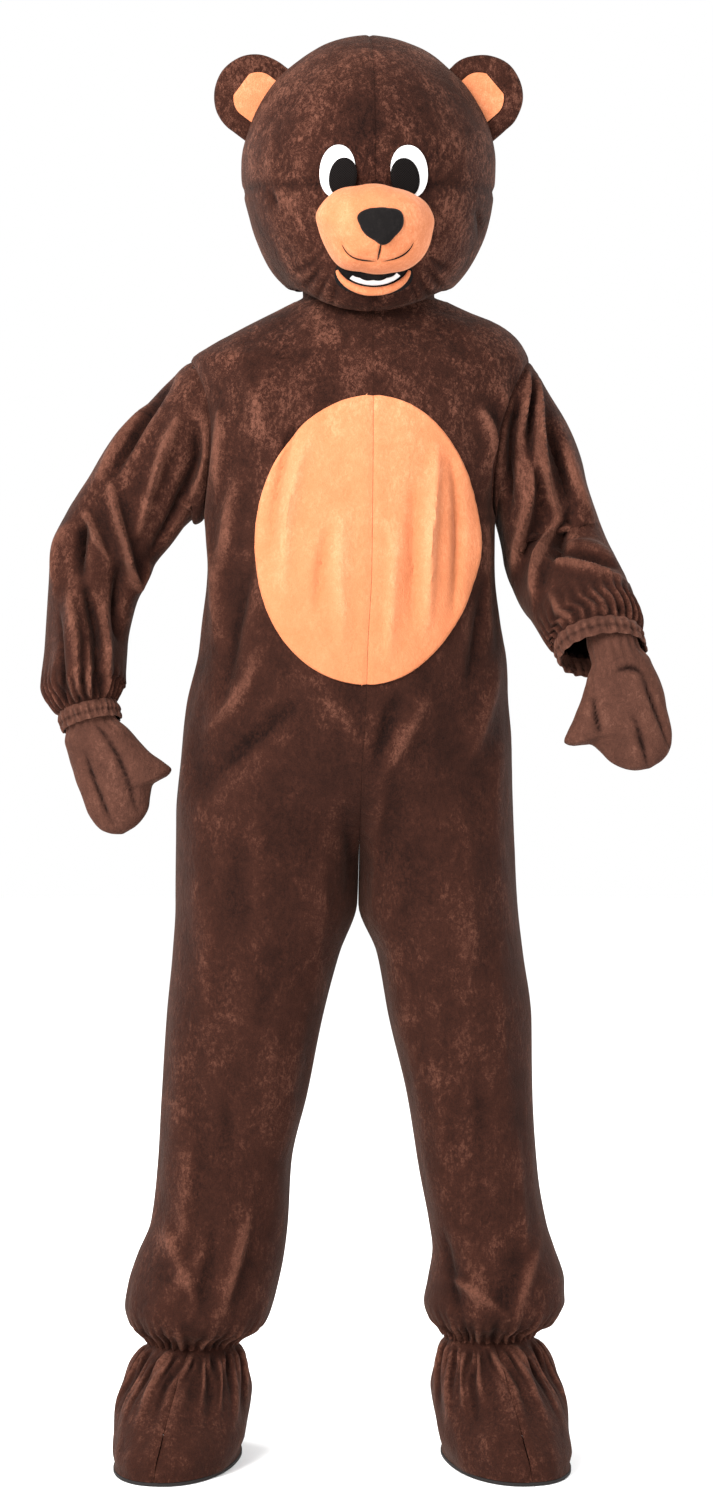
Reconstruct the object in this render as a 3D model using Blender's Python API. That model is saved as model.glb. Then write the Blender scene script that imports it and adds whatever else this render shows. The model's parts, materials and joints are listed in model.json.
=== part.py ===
"""Bear costume, as worn: padded head, hooded-neck jumpsuit, mittens and shoe covers.

Every cloth piece is a thin wall on a surface worked out from a short table of sections, one row for
each section, in metres. Heights are above the floor that the shoe covers stand on, and place() moves
them into the part's own frame, whose origin is between the wearer's shoulders, at the neck.
+X is the viewer's right, -Y the front and +Z up.
"""

import math

import bmesh
import bpy
import numpy as np

NECK_HEIGHT = 1.480  # height of the origin above the floor
CLOTH = 0.0020  # wall of the plush
FELT = 0.0015  # wall of the eye and mouth cloth
MITTEN_CLOTH = 0.0030  # wall of the lightly padded mittens
HEAD_WALL = 0.0120  # wall of the foam-backed head
SEAM_GAP = 0.0003  # between two pieces that are sewn or lie together
SEAM = SEAM_GAP / 2
NUDGE = 1e-4  # step for the slopes that give a surface its normal

# Colours are linear, with the roughness of each cloth.
FINISHES = {
    "brown_plush": ((0.075, 0.028, 0.017), 0.85),
    "tan_plush": ((0.72, 0.36, 0.15), 0.85),
    "white_felt": ((0.80, 0.78, 0.78), 0.80),
    "black_mesh": ((0.010, 0.009, 0.009), 0.70),
    "black_plush": ((0.018, 0.014, 0.013), 0.60),
    "sole_cloth": ((0.012, 0.010, 0.010), 0.75),
}


class Sections:
    """Sections of a form, one row each, joined by a smooth curve that never overshoots."""

    def __init__(self, columns, rows):
        data = np.array(sorted(rows), float)
        self.columns = columns[1:]
        self.key, self.value = data[:, 0], data[:, 1:]
        self.low, self.high = self.key[0], self.key[-1]
        step = np.diff(self.key)[:, None]
        slope = np.diff(self.value, axis=0) / step
        self.tangent = np.vstack([slope[:1], np.zeros_like(slope[1:]), slope[-1:]])
        before, after = slope[:-1], slope[1:]
        same = before * after > 0
        total = np.where(same, before + after, 1.0)
        self.tangent[1:-1] = np.where(same, 2 * before * after / total, 0.0)

    def at(self, key):
        """The columns at a key, as a list of arrays of the key's shape."""
        key = np.clip(np.asarray(key, float), self.low, self.high)
        i = np.clip(np.searchsorted(self.key, key, side="right") - 1, 0, len(self.key) - 2)
        step = self.key[i + 1] - self.key[i]
        t = ((key - self.key[i]) / step)[..., None]
        step = step[..., None]
        start, end = self.value[i], self.value[i + 1]
        value = (
            start * (1 + 2 * t) * (1 - t) ** 2
            + end * t * t * (3 - 2 * t)
            + self.tangent[i] * step * t * (1 - t) ** 2
            - self.tangent[i + 1] * step * t * t * (1 - t)
        )
        return [value[..., k] for k in range(value.shape[-1])]


def smooth(t):
    """0 below 0, 1 above 1, and an even S curve between."""
    t = np.clip(t, 0.0, 1.0)
    return t * t * (3 - 2 * t)


def power(value, exponent):
    """A power that keeps the sign of its base."""
    return np.sign(value) * np.abs(value) ** exponent


def place(x, y, height):
    """A point of the part's frame from x, y and a height above the floor."""
    x, y, height = np.broadcast_arrays(x, y, height)
    return np.stack([x, y, height - NECK_HEIGHT], axis=-1)


def unit(vector):
    return vector / np.maximum(np.linalg.norm(vector, axis=-1, keepdims=True), 1e-12)


def ring(left, right, front, back, angle, fullness):
    """A level closed curve through four sides. Angle 0 is its front and 90 degrees its right."""
    across, ahead = power(np.sin(angle), 2 / fullness), power(np.cos(angle), 2 / fullness)
    x = (left + right) / 2 + (right - left) / 2 * across
    y = (front + back) / 2 + (front - back) / 2 * ahead
    return x, y


# Folds: a soft ridge (or, with a negative depth, a trough) between two points of a panel, each
# given by its share of the panel's width and its height.
FOLD_COLUMNS = ("start_share", "start_height", "end_share", "end_height", "width", "depth")


def fold_depth(folds, share, height, panel_width):
    """How far the folds of a panel lift it at a place."""
    lift = np.zeros(np.broadcast(share, height).shape)
    for start_share, start_height, end_share, end_height, width, depth in folds:
        start = np.array([start_share * panel_width, start_height])
        run = np.array([end_share * panel_width, end_height]) - start
        x, z = share * panel_width - start[0], height - start[1]
        along = np.clip((x * run[0] + z * run[1]) / (run @ run), 0, 1)
        away = np.hypot(x - along * run[0], z - along * run[1])
        lift = lift + depth * np.exp(-((away / width) ** 2)) * np.sin(np.pi * (0.1 + 0.8 * along))
    return lift


# Solids


def normals(surface, u, v, inside):
    """Unit normals of surface(u, v), pointing away from the points inside."""
    along = surface(u + NUDGE, v) - surface(u - NUDGE, v)
    down = surface(u, v + NUDGE) - surface(u, v - NUDGE)
    normal = unit(np.cross(along, down))
    away = surface(u, v) - inside
    return normal * np.sign(np.sum(normal * away))


def strip(a, b):
    """Triangles between two rows of point numbers that may differ in count."""
    faces, i, j = [], 0, 0
    last_a, last_b = len(a) - 1, len(b) - 1
    while i < last_a or j < last_b:
        if j >= last_b or (i < last_a and (i + 1) * last_b <= (j + 1) * last_a):
            faces.append((a[i], a[i + 1], b[j]))
            i += 1
        else:
            faces.append((a[i], b[j + 1], b[j]))
            j += 1
    return faces


def cloth_material(finish):
    material = bpy.data.materials.get(finish)
    if material is None:
        colour, roughness = FINISHES[finish]
        material = bpy.data.materials.new(finish)
        material.use_nodes = True
        shader = material.node_tree.nodes["Principled BSDF"]
        shader.inputs["Base Color"].default_value = (*colour, 1)
        shader.inputs["Roughness"].default_value = roughness
        shader.inputs["Metallic"].default_value = 0.0
    return material


def add_solid(name, finish, points, faces):
    """A closed mesh object. Rows that shrink to a point are merged, and its faces point out."""
    mesh = bpy.data.meshes.new(name)
    mesh.from_pydata([tuple(p) for p in points], [], faces)
    work = bmesh.new()
    work.from_mesh(mesh)
    bmesh.ops.remove_doubles(work, verts=work.verts, dist=2e-6)
    bmesh.ops.dissolve_degenerate(work, edges=work.edges, dist=1e-7)
    bmesh.ops.recalc_face_normals(work, faces=work.faces)
    if work.calc_volume(signed=True) < 0:
        bmesh.ops.reverse_faces(work, faces=work.faces)
    work.to_mesh(mesh)
    work.free()
    mesh.materials.append(cloth_material(finish))
    mesh.shade_smooth()
    mesh.set_sharp_from_angle(angle=math.radians(50))
    solid = bpy.data.objects.new(name, mesh)
    bpy.context.scene.collection.objects.link(solid)
    return solid


def wall(name, finish, outer, inner, closed):
    """The solid between two sheets, each a list of rows of points, joined round their edges."""
    points, outer_rows, inner_rows = [], [], []
    for sheet, numbers in ((outer, outer_rows), (inner, inner_rows)):
        for row in sheet:
            first = len(points)
            points.extend(row)
            count = list(range(first, len(points)))
            numbers.append(count + count[:1] if closed else count)
    faces = []
    for a, b in zip(outer_rows[:-1], outer_rows[1:]):
        faces += strip(a, b)
    for a, b in zip(inner_rows[:-1], inner_rows[1:]):
        faces += [face[::-1] for face in strip(a, b)]
    faces += strip(inner_rows[0], outer_rows[0])
    faces += strip(outer_rows[-1], inner_rows[-1])
    if not closed:
        for end, turn in ((0, 1), (-1, -1)):
            outside = [row[end] for row in outer_rows]
            within = [row[end] for row in inner_rows]
            faces += [face[::turn] for face in strip(outside, within)]
    return add_solid(name, finish, points, faces)


def row_length(surface, low, high, v):
    share = np.linspace(low, high, 9)
    points = surface(share, np.full(9, v))
    return np.linalg.norm(np.diff(points, axis=0), axis=1).sum()


def panel(name, finish, surface, rows, shares, thick, inside, closed=False, lift=0.0, radial=False):
    """A wall on surface(u, v). rows are its v values and shares a count of even cells from 0 to 1, or
    a function of v for the u values across a row. inside is a function of v for a point within, lift
    how far the inner face stands off the surface, and a radial wall is measured towards inside."""
    outer, inner = [], []
    for v in rows:
        u = shares(v) if callable(shares) else np.linspace(0, 1, shares + 1)
        if closed:
            u = u[:-1]
        else:
            length = max(row_length(surface, u[0], u[-1], v), 1e-6)
            margin = min(SEAM / length, 0.49) * (u[-1] - u[0])
            u = np.array([u[0] + margin, *u[1:-1], u[-1] - margin])
        at = np.full(len(u), v)
        points = surface(u, at)
        normal = unit(points - inside(v)) if radial else normals(surface, u, at, inside(v))
        if lift:
            inner.append(points + normal * lift)
            outer.append(points + normal * (lift + thick))
        else:
            outer.append(points)
            inner.append(points - normal * thick)
    return wall(name, finish, outer, inner, closed)


def inset_ends(rows, by=SEAM):
    """Rows whose first and last are pulled in by half a seam's gap."""
    rows = list(rows)
    turn = 1 if rows[-1] > rows[0] else -1
    rows[0] += turn * by
    rows[-1] -= turn * by
    return rows


# Jumpsuit body: a front and a back for each side, each cut in one with its leg. A panel is built in
# four solids that meet edge to edge, so that each solid is a simple curved wall.

BODY_FULLNESS = 2.2
TORSO = Sections(
    ("height", "left", "right", "front", "back", "seam"),
    (
        (1.500, -0.094, 0.107, -0.066, 0.078, 0.009),
        (1.485, -0.125, 0.137, -0.077, 0.087, 0.009),
        (1.465, -0.164, 0.181, -0.091, 0.097, 0.009),
        (1.443, -0.202, 0.203, -0.106, 0.105, 0.009),
        (1.424, -0.226, 0.211, -0.117, 0.110, 0.009),
        (1.330, -0.219, 0.192, -0.138, 0.119, 0.009),
        (1.220, -0.208, 0.165, -0.149, 0.120, 0.008),
        (1.150, -0.202, 0.166, -0.156, 0.117, 0.007),
        (1.053, -0.212, 0.174, -0.160, 0.118, 0.002),
        (0.979, -0.231, 0.182, -0.153, 0.128, 0.000),
        (0.903, -0.241, 0.189, -0.142, 0.138, -0.005),
        (0.836, -0.247, 0.192, -0.133, 0.142, -0.007),
        (0.773, -0.247, 0.195, -0.127, 0.140, -0.009),
        (0.700, -0.248, 0.197, -0.122, 0.134, -0.010),
    ),
)
LEG_COLUMNS = ("height", "left", "right", "front", "back")
LEGS = {
    "left": Sections(
        LEG_COLUMNS,
        (
            (0.903, -0.241, -0.0050, -0.142, 0.138),
            (0.836, -0.247, -0.0070, -0.133, 0.142),
            (0.773, -0.248, -0.0090, -0.127, 0.140),
            (0.721, -0.248, -0.0110, -0.122, 0.134),
            (0.656, -0.252, -0.0338, -0.113, 0.121),
            (0.572, -0.260, -0.0560, -0.104, 0.108),
            (0.473, -0.266, -0.0758, -0.096, 0.098),
            (0.380, -0.272, -0.0970, -0.090, 0.093),
            (0.304, -0.281, -0.1014, -0.088, 0.092),
            (0.260, -0.299, -0.1066, -0.092, 0.095),
            (0.222, -0.311, -0.1144, -0.097, 0.099),
            (0.194, -0.315, -0.1222, -0.098, 0.099),
            (0.170, -0.307, -0.1352, -0.088, 0.090),
            (0.155, -0.289, -0.1600, -0.066, 0.070),
            (0.146, -0.284, -0.1670, -0.058, 0.060),
        ),
    ),
    "right": Sections(
        LEG_COLUMNS,
        (
            (0.903, -0.0050, 0.189, -0.142, 0.138),
            (0.836, -0.0075, 0.192, -0.133, 0.142),
            (0.773, -0.0090, 0.195, -0.127, 0.140),
            (0.721, -0.0098, 0.198, -0.122, 0.134),
            (0.656, 0.0143, 0.205, -0.113, 0.121),
            (0.572, 0.0299, 0.216, -0.104, 0.108),
            (0.473, 0.0533, 0.218, -0.096, 0.098),
            (0.369, 0.0702, 0.225, -0.090, 0.093),
            (0.300, 0.0832, 0.237, -0.088, 0.092),
            (0.269, 0.0871, 0.247, -0.092, 0.095),
            (0.225, 0.0806, 0.260, -0.097, 0.099),
            (0.200, 0.0767, 0.260, -0.098, 0.099),
            (0.178, 0.0850, 0.248, -0.088, 0.090),
            (0.164, 0.0990, 0.224, -0.066, 0.070),
            (0.155, 0.1030, 0.220, -0.058, 0.060),
        ),
    ),
}
FORK_HEIGHT = 0.905  # the centre seams start to run in towards the crotch
CROTCH_HEIGHT = 0.721
PANEL_WIDTH = 0.27  # the usual width of a panel, for placing its folds
HEM_GATHERS = 7  # in each panel, where the elastic draws the leg in
HEM_GATHER_DEPTH = 0.0035
HEM_GATHER_REACH = 0.075

FOLDS = {
    ("left", "front"): (
        (0.95, 1.235, 0.55, 1.330, 0.020, 0.007),
        (0.84, 1.210, 0.66, 1.060, 0.018, 0.009),
        (0.98, 1.130, 0.95, 0.930, 0.022, 0.008),
        (0.80, 0.990, 0.90, 0.830, 0.020, 0.005),
        (0.30, 0.930, 0.62, 0.820, 0.024, 0.005),
        (0.30, 0.640, 0.24, 0.380, 0.020, 0.006),
        (0.78, 0.560, 0.72, 0.300, 0.024, 0.005),
        (0.50, 0.300, 0.66, 0.190, 0.014, 0.007),
        (0.34, 0.290, 0.36, 0.190, 0.013, -0.006),
    ),
    ("right", "front"): (
        (0.98, 1.250, 0.62, 1.370, 0.020, 0.008),
        (0.86, 1.300, 0.70, 1.150, 0.016, -0.006),
        (0.80, 1.200, 0.92, 1.020, 0.020, 0.008),
        (0.96, 1.060, 0.93, 0.900, 0.020, 0.005),
        (0.16, 0.880, 0.12, 0.660, 0.020, -0.006),
        (0.24, 0.700, 0.20, 0.420, 0.022, 0.006),
        (0.88, 0.600, 0.80, 0.330, 0.024, 0.005),
        (0.36, 0.300, 0.44, 0.190, 0.014, 0.007),
        (0.60, 0.290, 0.52, 0.190, 0.013, -0.006),
    ),
    ("left", "back"): (
        (0.90, 1.240, 0.50, 1.340, 0.022, 0.007),
        (0.60, 1.160, 0.50, 0.990, 0.022, 0.006),
        (0.20, 0.860, 0.62, 0.760, 0.022, 0.007),
        (0.34, 0.640, 0.30, 0.380, 0.022, 0.006),
        (0.74, 0.520, 0.70, 0.280, 0.022, -0.005),
        (0.48, 0.300, 0.54, 0.190, 0.014, 0.006),
    ),
    ("right", "back"): (
        (0.90, 1.250, 0.52, 1.350, 0.022, 0.007),
        (0.64, 1.150, 0.56, 0.980, 0.022, 0.006),
        (0.18, 0.850, 0.60, 0.770, 0.022, 0.006),
        (0.30, 0.620, 0.34, 0.400, 0.022, 0.006),
        (0.70, 0.540, 0.74, 0.290, 0.022, -0.005),
        (0.52, 0.300, 0.46, 0.190, 0.014, 0.006),
    ),
}


def seam_angle(height):
    """How far the centre seams lie round the torso's ring from its middle."""
    left, right, _, _, seam = TORSO.at(height)
    off = (seam - (left + right) / 2) / ((right - left) / 2)
    return np.arcsin(power(off, BODY_FULLNESS / 2))


def body_base(side, face, share, height):
    """The body before its folds. Share runs from the centre seam or inseam to the side seam."""
    hand = 1 if side == "right" else -1
    start = seam_angle(height)
    if face == "front":
        torso_angle = start + (hand * math.pi / 2 - start) * share
        leg_angle = hand * (share - 0.5) * math.pi
    else:
        torso_angle = math.pi - start + (start - hand * math.pi / 2) * share
        leg_angle = math.pi - hand * (share - 0.5) * math.pi
    left, right, front, back, _ = TORSO.at(height)
    torso = place(*ring(left, right, front, back, torso_angle, BODY_FULLNESS), height)
    left, right, front, back = LEGS[side].at(height)
    leg = place(*ring(left, right, front, back, leg_angle, BODY_FULLNESS), height)
    mix = smooth((FORK_HEIGHT - height) / (FORK_HEIGHT - CROTCH_HEIGHT))[..., None]
    point = torso * (1 - mix) + leg * mix
    middle = (LEGS["left"].at(height)[1] + LEGS["right"].at(height)[0]) / 2
    held = np.where(hand * (point[..., 0] - middle) > SEAM, point[..., 0], middle + hand * SEAM)
    point[..., 0] = np.where(np.asarray(height) < FORK_HEIGHT - 0.001, held, point[..., 0])
    return point


def hem_height(side):
    return LEGS[side].low


def gather_lift(side, share, height):
    """Ruffle waves that the elastic in the hem draws, fading up the leg."""
    above = (height - hem_height(side)) / HEM_GATHER_REACH
    fade = np.exp(-((above / 0.45) ** 2)) * smooth(above / 0.10)
    return HEM_GATHER_DEPTH * fade * np.cos(2 * math.pi * HEM_GATHERS * share)


def body(side, face):
    """The surface of one body panel, as a function of share and height."""

    def bare(share, height):
        return body_base(side, face, share, height)

    def surface(share, height):
        along = bare(share + NUDGE, height) - bare(share - NUDGE, height)
        down = bare(share, height + NUDGE) - bare(share, height - NUDGE)
        hand = 1 if (side == "right") == (face == "front") else -1
        normal = unit(np.cross(along, down)) * -hand
        lift = fold_depth(FOLDS[side, face], share, height, PANEL_WIDTH)
        edge = armhole_share(side, face, height)
        lift = lift * smooth(share / 0.12) * smooth((edge - share) / 0.12)
        lift = lift + gather_lift(side, share, height)
        return bare(share, height) + normal * lift[..., None]

    return surface


def body_inside(side):
    """A point within this side's half of the trunk, or within its leg."""

    def middle(height):
        if height > FORK_HEIGHT:
            left, right, front, back, seam = TORSO.at(height)
            edge = right if side == "right" else left
            return place((seam + edge) / 2, (front + back) / 2, height)
        left, right, front, back = LEGS[side].at(height)
        return place((left + right) / 2, (front + back) / 2, height)

    return middle


BODY_COLUMNS = 6  # cells across a body panel
PANEL_FOOT = {"front": 1.170, "back": 1.180}  # where a panel's chest ends
KNEE_HEIGHT = 0.560

# The belly's oval, over the centre front seam
BELLY_MIDDLE = 1.1906
BELLY_RISE = 0.182
BELLY_HALF_WIDTH = {"left": 0.148, "right": 0.134}
BELLY_COLUMNS = 4
BELLY_TIP = 0.003

# Armholes: an oval round which each sleeve is set

ARMHOLE_MIDDLE = 1.322
ARMHOLE_RISE = 0.102
ARMHOLE_REACH = {"front": 0.066, "back": 0.062}
ARMHOLE_STEPS = 8  # rows of a panel between the underarm and the shoulder point
ARMHOLE_Y = -0.004


def armhole_y(height):
    """The y of the armhole's front and back edges at a height."""
    off = np.clip((height - ARMHOLE_MIDDLE) / ARMHOLE_RISE, -1, 1)
    open_share = np.sqrt(1 - off**2)
    return (
        ARMHOLE_Y - ARMHOLE_REACH["front"] * open_share,
        ARMHOLE_Y + ARMHOLE_REACH["back"] * open_share,
    )


def armhole_share(side, face, height):
    """The share of a panel's width at which the armhole cuts it, or 1 above and below it."""
    front_y, back_y = armhole_y(height)
    _, _, front, back, _ = TORSO.at(height)
    y = front_y if face == "front" else back_y
    off = (y - (front + back) / 2) / ((front - back) / 2)
    angle = np.arccos(np.clip(power(off, BODY_FULLNESS / 2), -1, 1))
    hand = 1 if side == "right" else -1
    start = seam_angle(height)
    if face == "front":
        share = (angle - hand * start) / (math.pi / 2 - hand * start)
    else:
        share = (math.pi - angle - hand * start) / (math.pi / 2 - hand * start)
    return np.where(np.abs(height - ARMHOLE_MIDDLE) >= ARMHOLE_RISE, 1.0, share)


def armhole_heights():
    turns = np.linspace(-math.pi / 2, math.pi / 2, ARMHOLE_STEPS + 1)
    return [ARMHOLE_MIDDLE + ARMHOLE_RISE * math.sin(t) for t in turns]


def belly_share(side, height):
    """The share of the front panel's width at the belly's edge."""
    across = np.sqrt(np.clip(1 - ((height - BELLY_MIDDLE) / BELLY_RISE) ** 2, 0, 1))
    left, right, _, _, seam = TORSO.at(height)
    hand = 1 if side == "right" else -1
    x = seam + hand * across * BELLY_HALF_WIDTH[side]
    off = (x - (left + right) / 2) / ((right - left) / 2)
    angle = np.arcsin(power(off, BODY_FULLNESS / 2))
    start = seam_angle(height)
    return float((angle - start) / (hand * math.pi / 2 - start))


def belly_rows():
    """The belly's rows are rows of the front panels too, so that it lies flat on them."""
    low, high = BELLY_MIDDLE - BELLY_RISE, BELLY_MIDDLE + BELLY_RISE
    armhole = [height for height in armhole_heights() if height < high - 0.005]
    return [high - BELLY_TIP, *armhole[::-1], 1.170, 1.125, 1.080, 1.045, 1.020, low + BELLY_TIP]


def body_rows(side, face):
    """Heights of a body panel's rows, from the neck to the hem."""
    armhole = armhole_heights()[::-1]
    low = hem_height(side)
    neck = [1.500, 1.486, 1.466, 1.446]
    if face == "front":
        belly = belly_rows()
        chest = [height for height in armhole if height > belly[0]] + belly + [0.975, 0.940]
    else:
        chest = armhole + [1.180, 1.130, 1.080, 1.030, 0.980, 0.940]
    fork = [FORK_HEIGHT, 0.872, 0.842, 0.812, 0.782, 0.752, CROTCH_HEIGHT]
    leg = [0.680, 0.625, KNEE_HEIGHT, 0.480, 0.400, 0.330, 0.270]
    ankle = [low + rise for rise in (0.082, 0.060, 0.042, 0.026, 0.012, 0.0)]
    return neck + chest + fork + leg + ankle


def body_parts(side, face):
    """The rows of each of a panel's four solids."""
    rows = body_rows(side, face)
    ends = (PANEL_FOOT[face], FORK_HEIGHT, KNEE_HEIGHT, rows[-1])
    first = 0
    for part, end in zip(("chest", "hips", "thigh", "calf"), ends):
        last = rows.index(end)
        yield part, rows[first : last + 1]
        first = last


def body_shares(side, face):
    belly = belly_rows()

    def shares(height):
        edge = float(armhole_share(side, face, height))
        if height < 0.240:
            return np.linspace(0, edge, 2 * HEM_GATHERS + 1)
        if face == "front" and belly[-1] <= height <= belly[0]:
            inner = np.linspace(0, belly_share(side, height), BELLY_COLUMNS + 1)
            return np.concatenate([inner, np.linspace(inner[-1], edge, BODY_COLUMNS - 2)[1:]])
        return np.linspace(0, edge, BODY_COLUMNS + 1)

    return shares


def make_body():
    for side in ("left", "right"):
        for face in ("front", "back"):
            for part, rows in body_parts(side, face):
                panel(
                    f"{face}_{side}_{part}",
                    "brown_plush",
                    body(side, face),
                    inset_ends(rows),
                    body_shares(side, face),
                    CLOTH,
                    body_inside(side),
                )


# Belly: two halves of an oval, sewn on over the centre seam


def make_belly():
    for side in ("left", "right"):
        panel(
            f"belly_{side}",
            "tan_plush",
            body(side, "front"),
            belly_rows(),
            lambda height, s=side: np.linspace(0, belly_share(s, height), BELLY_COLUMNS + 1),
            CLOTH,
            body_inside(side),
            lift=SEAM_GAP,
        )


# Sleeves: a tube set into each armhole and drawn in at the wrist, built in an upper and a lower solid

SLEEVE_COLUMNS = ("share", "x", "y", "height", "half_width", "half_depth")
SLEEVES = {
    "left": Sections(
        SLEEVE_COLUMNS,
        (
            (0.00, -0.2100, -0.004, 1.3220, 0.074, 0.064),
            (0.14, -0.2520, -0.001, 1.2920, 0.077, 0.066),
            (0.30, -0.2940, 0.006, 1.2400, 0.072, 0.066),
            (0.46, -0.3370, 0.010, 1.1830, 0.065, 0.064),
            (0.60, -0.3560, 0.000, 1.1140, 0.057, 0.060),
            (0.76, -0.3635, -0.016, 1.0480, 0.054, 0.058),
            (0.88, -0.3655, -0.028, 1.0080, 0.055, 0.056),
            (0.95, -0.3625, -0.034, 0.9900, 0.046, 0.048),
            (1.00, -0.3590, -0.038, 0.9760, 0.037, 0.0340),
        ),
    ),
    "right": Sections(
        SLEEVE_COLUMNS,
        (
            (0.00, 0.1860, -0.004, 1.3220, 0.072, 0.064),
            (0.16, 0.2080, -0.002, 1.2900, 0.070, 0.066),
            (0.32, 0.2260, 0.004, 1.2400, 0.067, 0.066),
            (0.48, 0.2425, 0.000, 1.1890, 0.068, 0.066),
            (0.62, 0.2575, -0.030, 1.1450, 0.069, 0.062),
            (0.76, 0.2715, -0.078, 1.1140, 0.066, 0.058),
            (0.88, 0.2835, -0.116, 1.0905, 0.062, 0.054),
            (0.95, 0.2900, -0.132, 1.0780, 0.058, 0.050),
            (1.00, 0.2920, -0.141, 1.0670, 0.054, 0.0440),
        ),
    ),
}
SLEEVE_START = 0.0006  # the sleeve stands this far out from the armhole's edge
SLEEVE_SIDES = 2 * ARMHOLE_STEPS
SLEEVE_FOLD_COLUMNS = ("angle", "start_share", "end_share", "width", "depth", "twist")
SLEEVE_FOLDS = {
    "left": (
        (250, 0.04, 0.50, 26, -0.010, 40),
        (205, 0.10, 0.56, 26, 0.010, 30),
        (165, 0.06, 0.48, 24, -0.008, 60),
        (120, 0.10, 0.56, 24, 0.008, 20),
        (210, 0.46, 0.86, 24, -0.008, -30),
        (160, 0.56, 0.98, 20, 0.006, 0),
        (120, 0.60, 0.98, 20, -0.006, 0),
        (330, 0.30, 0.90, 26, 0.007, 20),
        (20, 0.20, 0.80, 26, -0.006, -20),
    ),
    "right": (
        (130, 0.04, 0.60, 24, 0.010, 20),
        (170, 0.03, 0.66, 24, -0.009, 10),
        (205, 0.05, 0.62, 24, 0.009, 14),
        (245, 0.05, 0.50, 24, -0.008, 20),
        (165, 0.60, 0.80, 26, 0.007, -60),
        (330, 0.20, 0.86, 26, 0.007, 10),
        (20, 0.16, 0.80, 26, -0.006, -10),
    ),
}


def sleeve_spine(side, share):
    x, y, height, half_width, half_depth = SLEEVES[side].at(share)
    return place(x, y, height), half_width, half_depth


def sleeve_frame(side, share):
    """The sleeve's direction, its upper side and its back side."""
    step = 0.02
    after, _, _ = sleeve_spine(side, np.clip(share + step, 0, 1))
    before, _, _ = sleeve_spine(side, np.clip(share - step, 0, 1))
    along = unit(after - before)
    rear = np.broadcast_to([0.0, 1.0, 0.0], along.shape)
    upper = unit(np.cross(rear, along))
    hand = 1 if side == "right" else -1
    upper = upper * np.sign(hand * upper[..., 0:1] + 1e-9)
    back = unit(np.cross(along, upper))
    back = back * np.sign(back[..., 1:2] + 1e-9)
    return along, upper, back


def armhole_point(side, turn):
    """A point of the armhole's edge. Turn 90 degrees is the shoulder point and 180 the front."""
    height = ARMHOLE_MIDDLE + ARMHOLE_RISE * np.sin(turn)
    open_share = np.cos(turn)
    reach = np.where(open_share > 0, ARMHOLE_REACH["back"], ARMHOLE_REACH["front"])
    y = ARMHOLE_Y + reach * open_share
    left, right, front, back, _ = TORSO.at(height)
    off = np.clip((y - (front + back) / 2) / ((back - front) / 2), -1, 1)
    across = (1 - np.abs(off) ** BODY_FULLNESS) ** (1 / BODY_FULLNESS)
    hand = 1 if side == "right" else -1
    return place((left + right) / 2 + hand * (right - left) / 2 * across, y, height)


def sleeve_lift(side, turn, share):
    lift = np.zeros(np.broadcast(turn, share).shape)
    degrees = np.degrees(turn)
    for angle, start, end, width, depth, twist in SLEEVE_FOLDS[side]:
        along = (share - start) / (end - start)
        fade = np.where((along > 0) & (along < 1), np.sin(np.pi * np.clip(along, 0, 1)) ** 1.2, 0)
        away = (degrees - angle - twist * along + 180) % 360 - 180
        lift = lift + depth * fade * np.exp(-((away / width) ** 2))
    return lift


def sleeve(side):
    """The sleeve's surface: u round it, from its back over the shoulder, and v along it."""

    def surface(u, v):
        turn = 2 * math.pi * u
        middle, half_width, half_depth = sleeve_spine(side, v)
        along, upper, back = sleeve_frame(side, v)
        lift = sleeve_lift(side, turn, v)
        wide = (half_width + lift) * np.sin(turn)
        deep = (half_depth + lift) * np.cos(turn)
        tube = middle + upper * wide[..., None] + back * deep[..., None]
        outward = 1 if side == "right" else -1
        edge = armhole_point(side, turn) + np.array([outward * SLEEVE_START, 0.0, 0.0])
        middle_start, _, _ = sleeve_spine(side, np.zeros_like(v))
        set_in = edge + (middle - middle_start)
        mix = smooth(v / 0.24)[..., None]
        return set_in * (1 - mix) + tube * mix

    return surface


def sleeve_inside(side):
    return lambda v: sleeve_spine(side, np.array(v))[0]


SLEEVE_ROWS = (0.0, 0.05, 0.12, 0.20, 0.30, 0.40, 0.50, 0.60, 0.70, 0.80, 0.88, 0.94, 1.0)
SLEEVE_UPPER_ROWS = {"left": 7, "right": 6}
SLEEVE_GAP = 0.0005  # share of the sleeve's length that each solid stops short of the other


def sleeve_parts(side):
    """The rows of a sleeve's two solids."""
    count = SLEEVE_UPPER_ROWS[side]
    end = SLEEVE_ROWS[count - 1]
    yield "upper", [*SLEEVE_ROWS[: count - 1], end - SLEEVE_GAP]
    yield "lower", [end + SLEEVE_GAP, *SLEEVE_ROWS[count:]]


def make_sleeves():
    for side in ("left", "right"):
        for part, rows in sleeve_parts(side):
            panel(
                f"sleeve_{side}_{part}",
                "brown_plush",
                sleeve(side),
                rows,
                SLEEVE_SIDES,
                CLOTH,
                sleeve_inside(side),
                closed=True,
            )


# Mittens: a back and a palm each, sewn round the edge, with the wrist inside the sleeve's cuff

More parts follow.
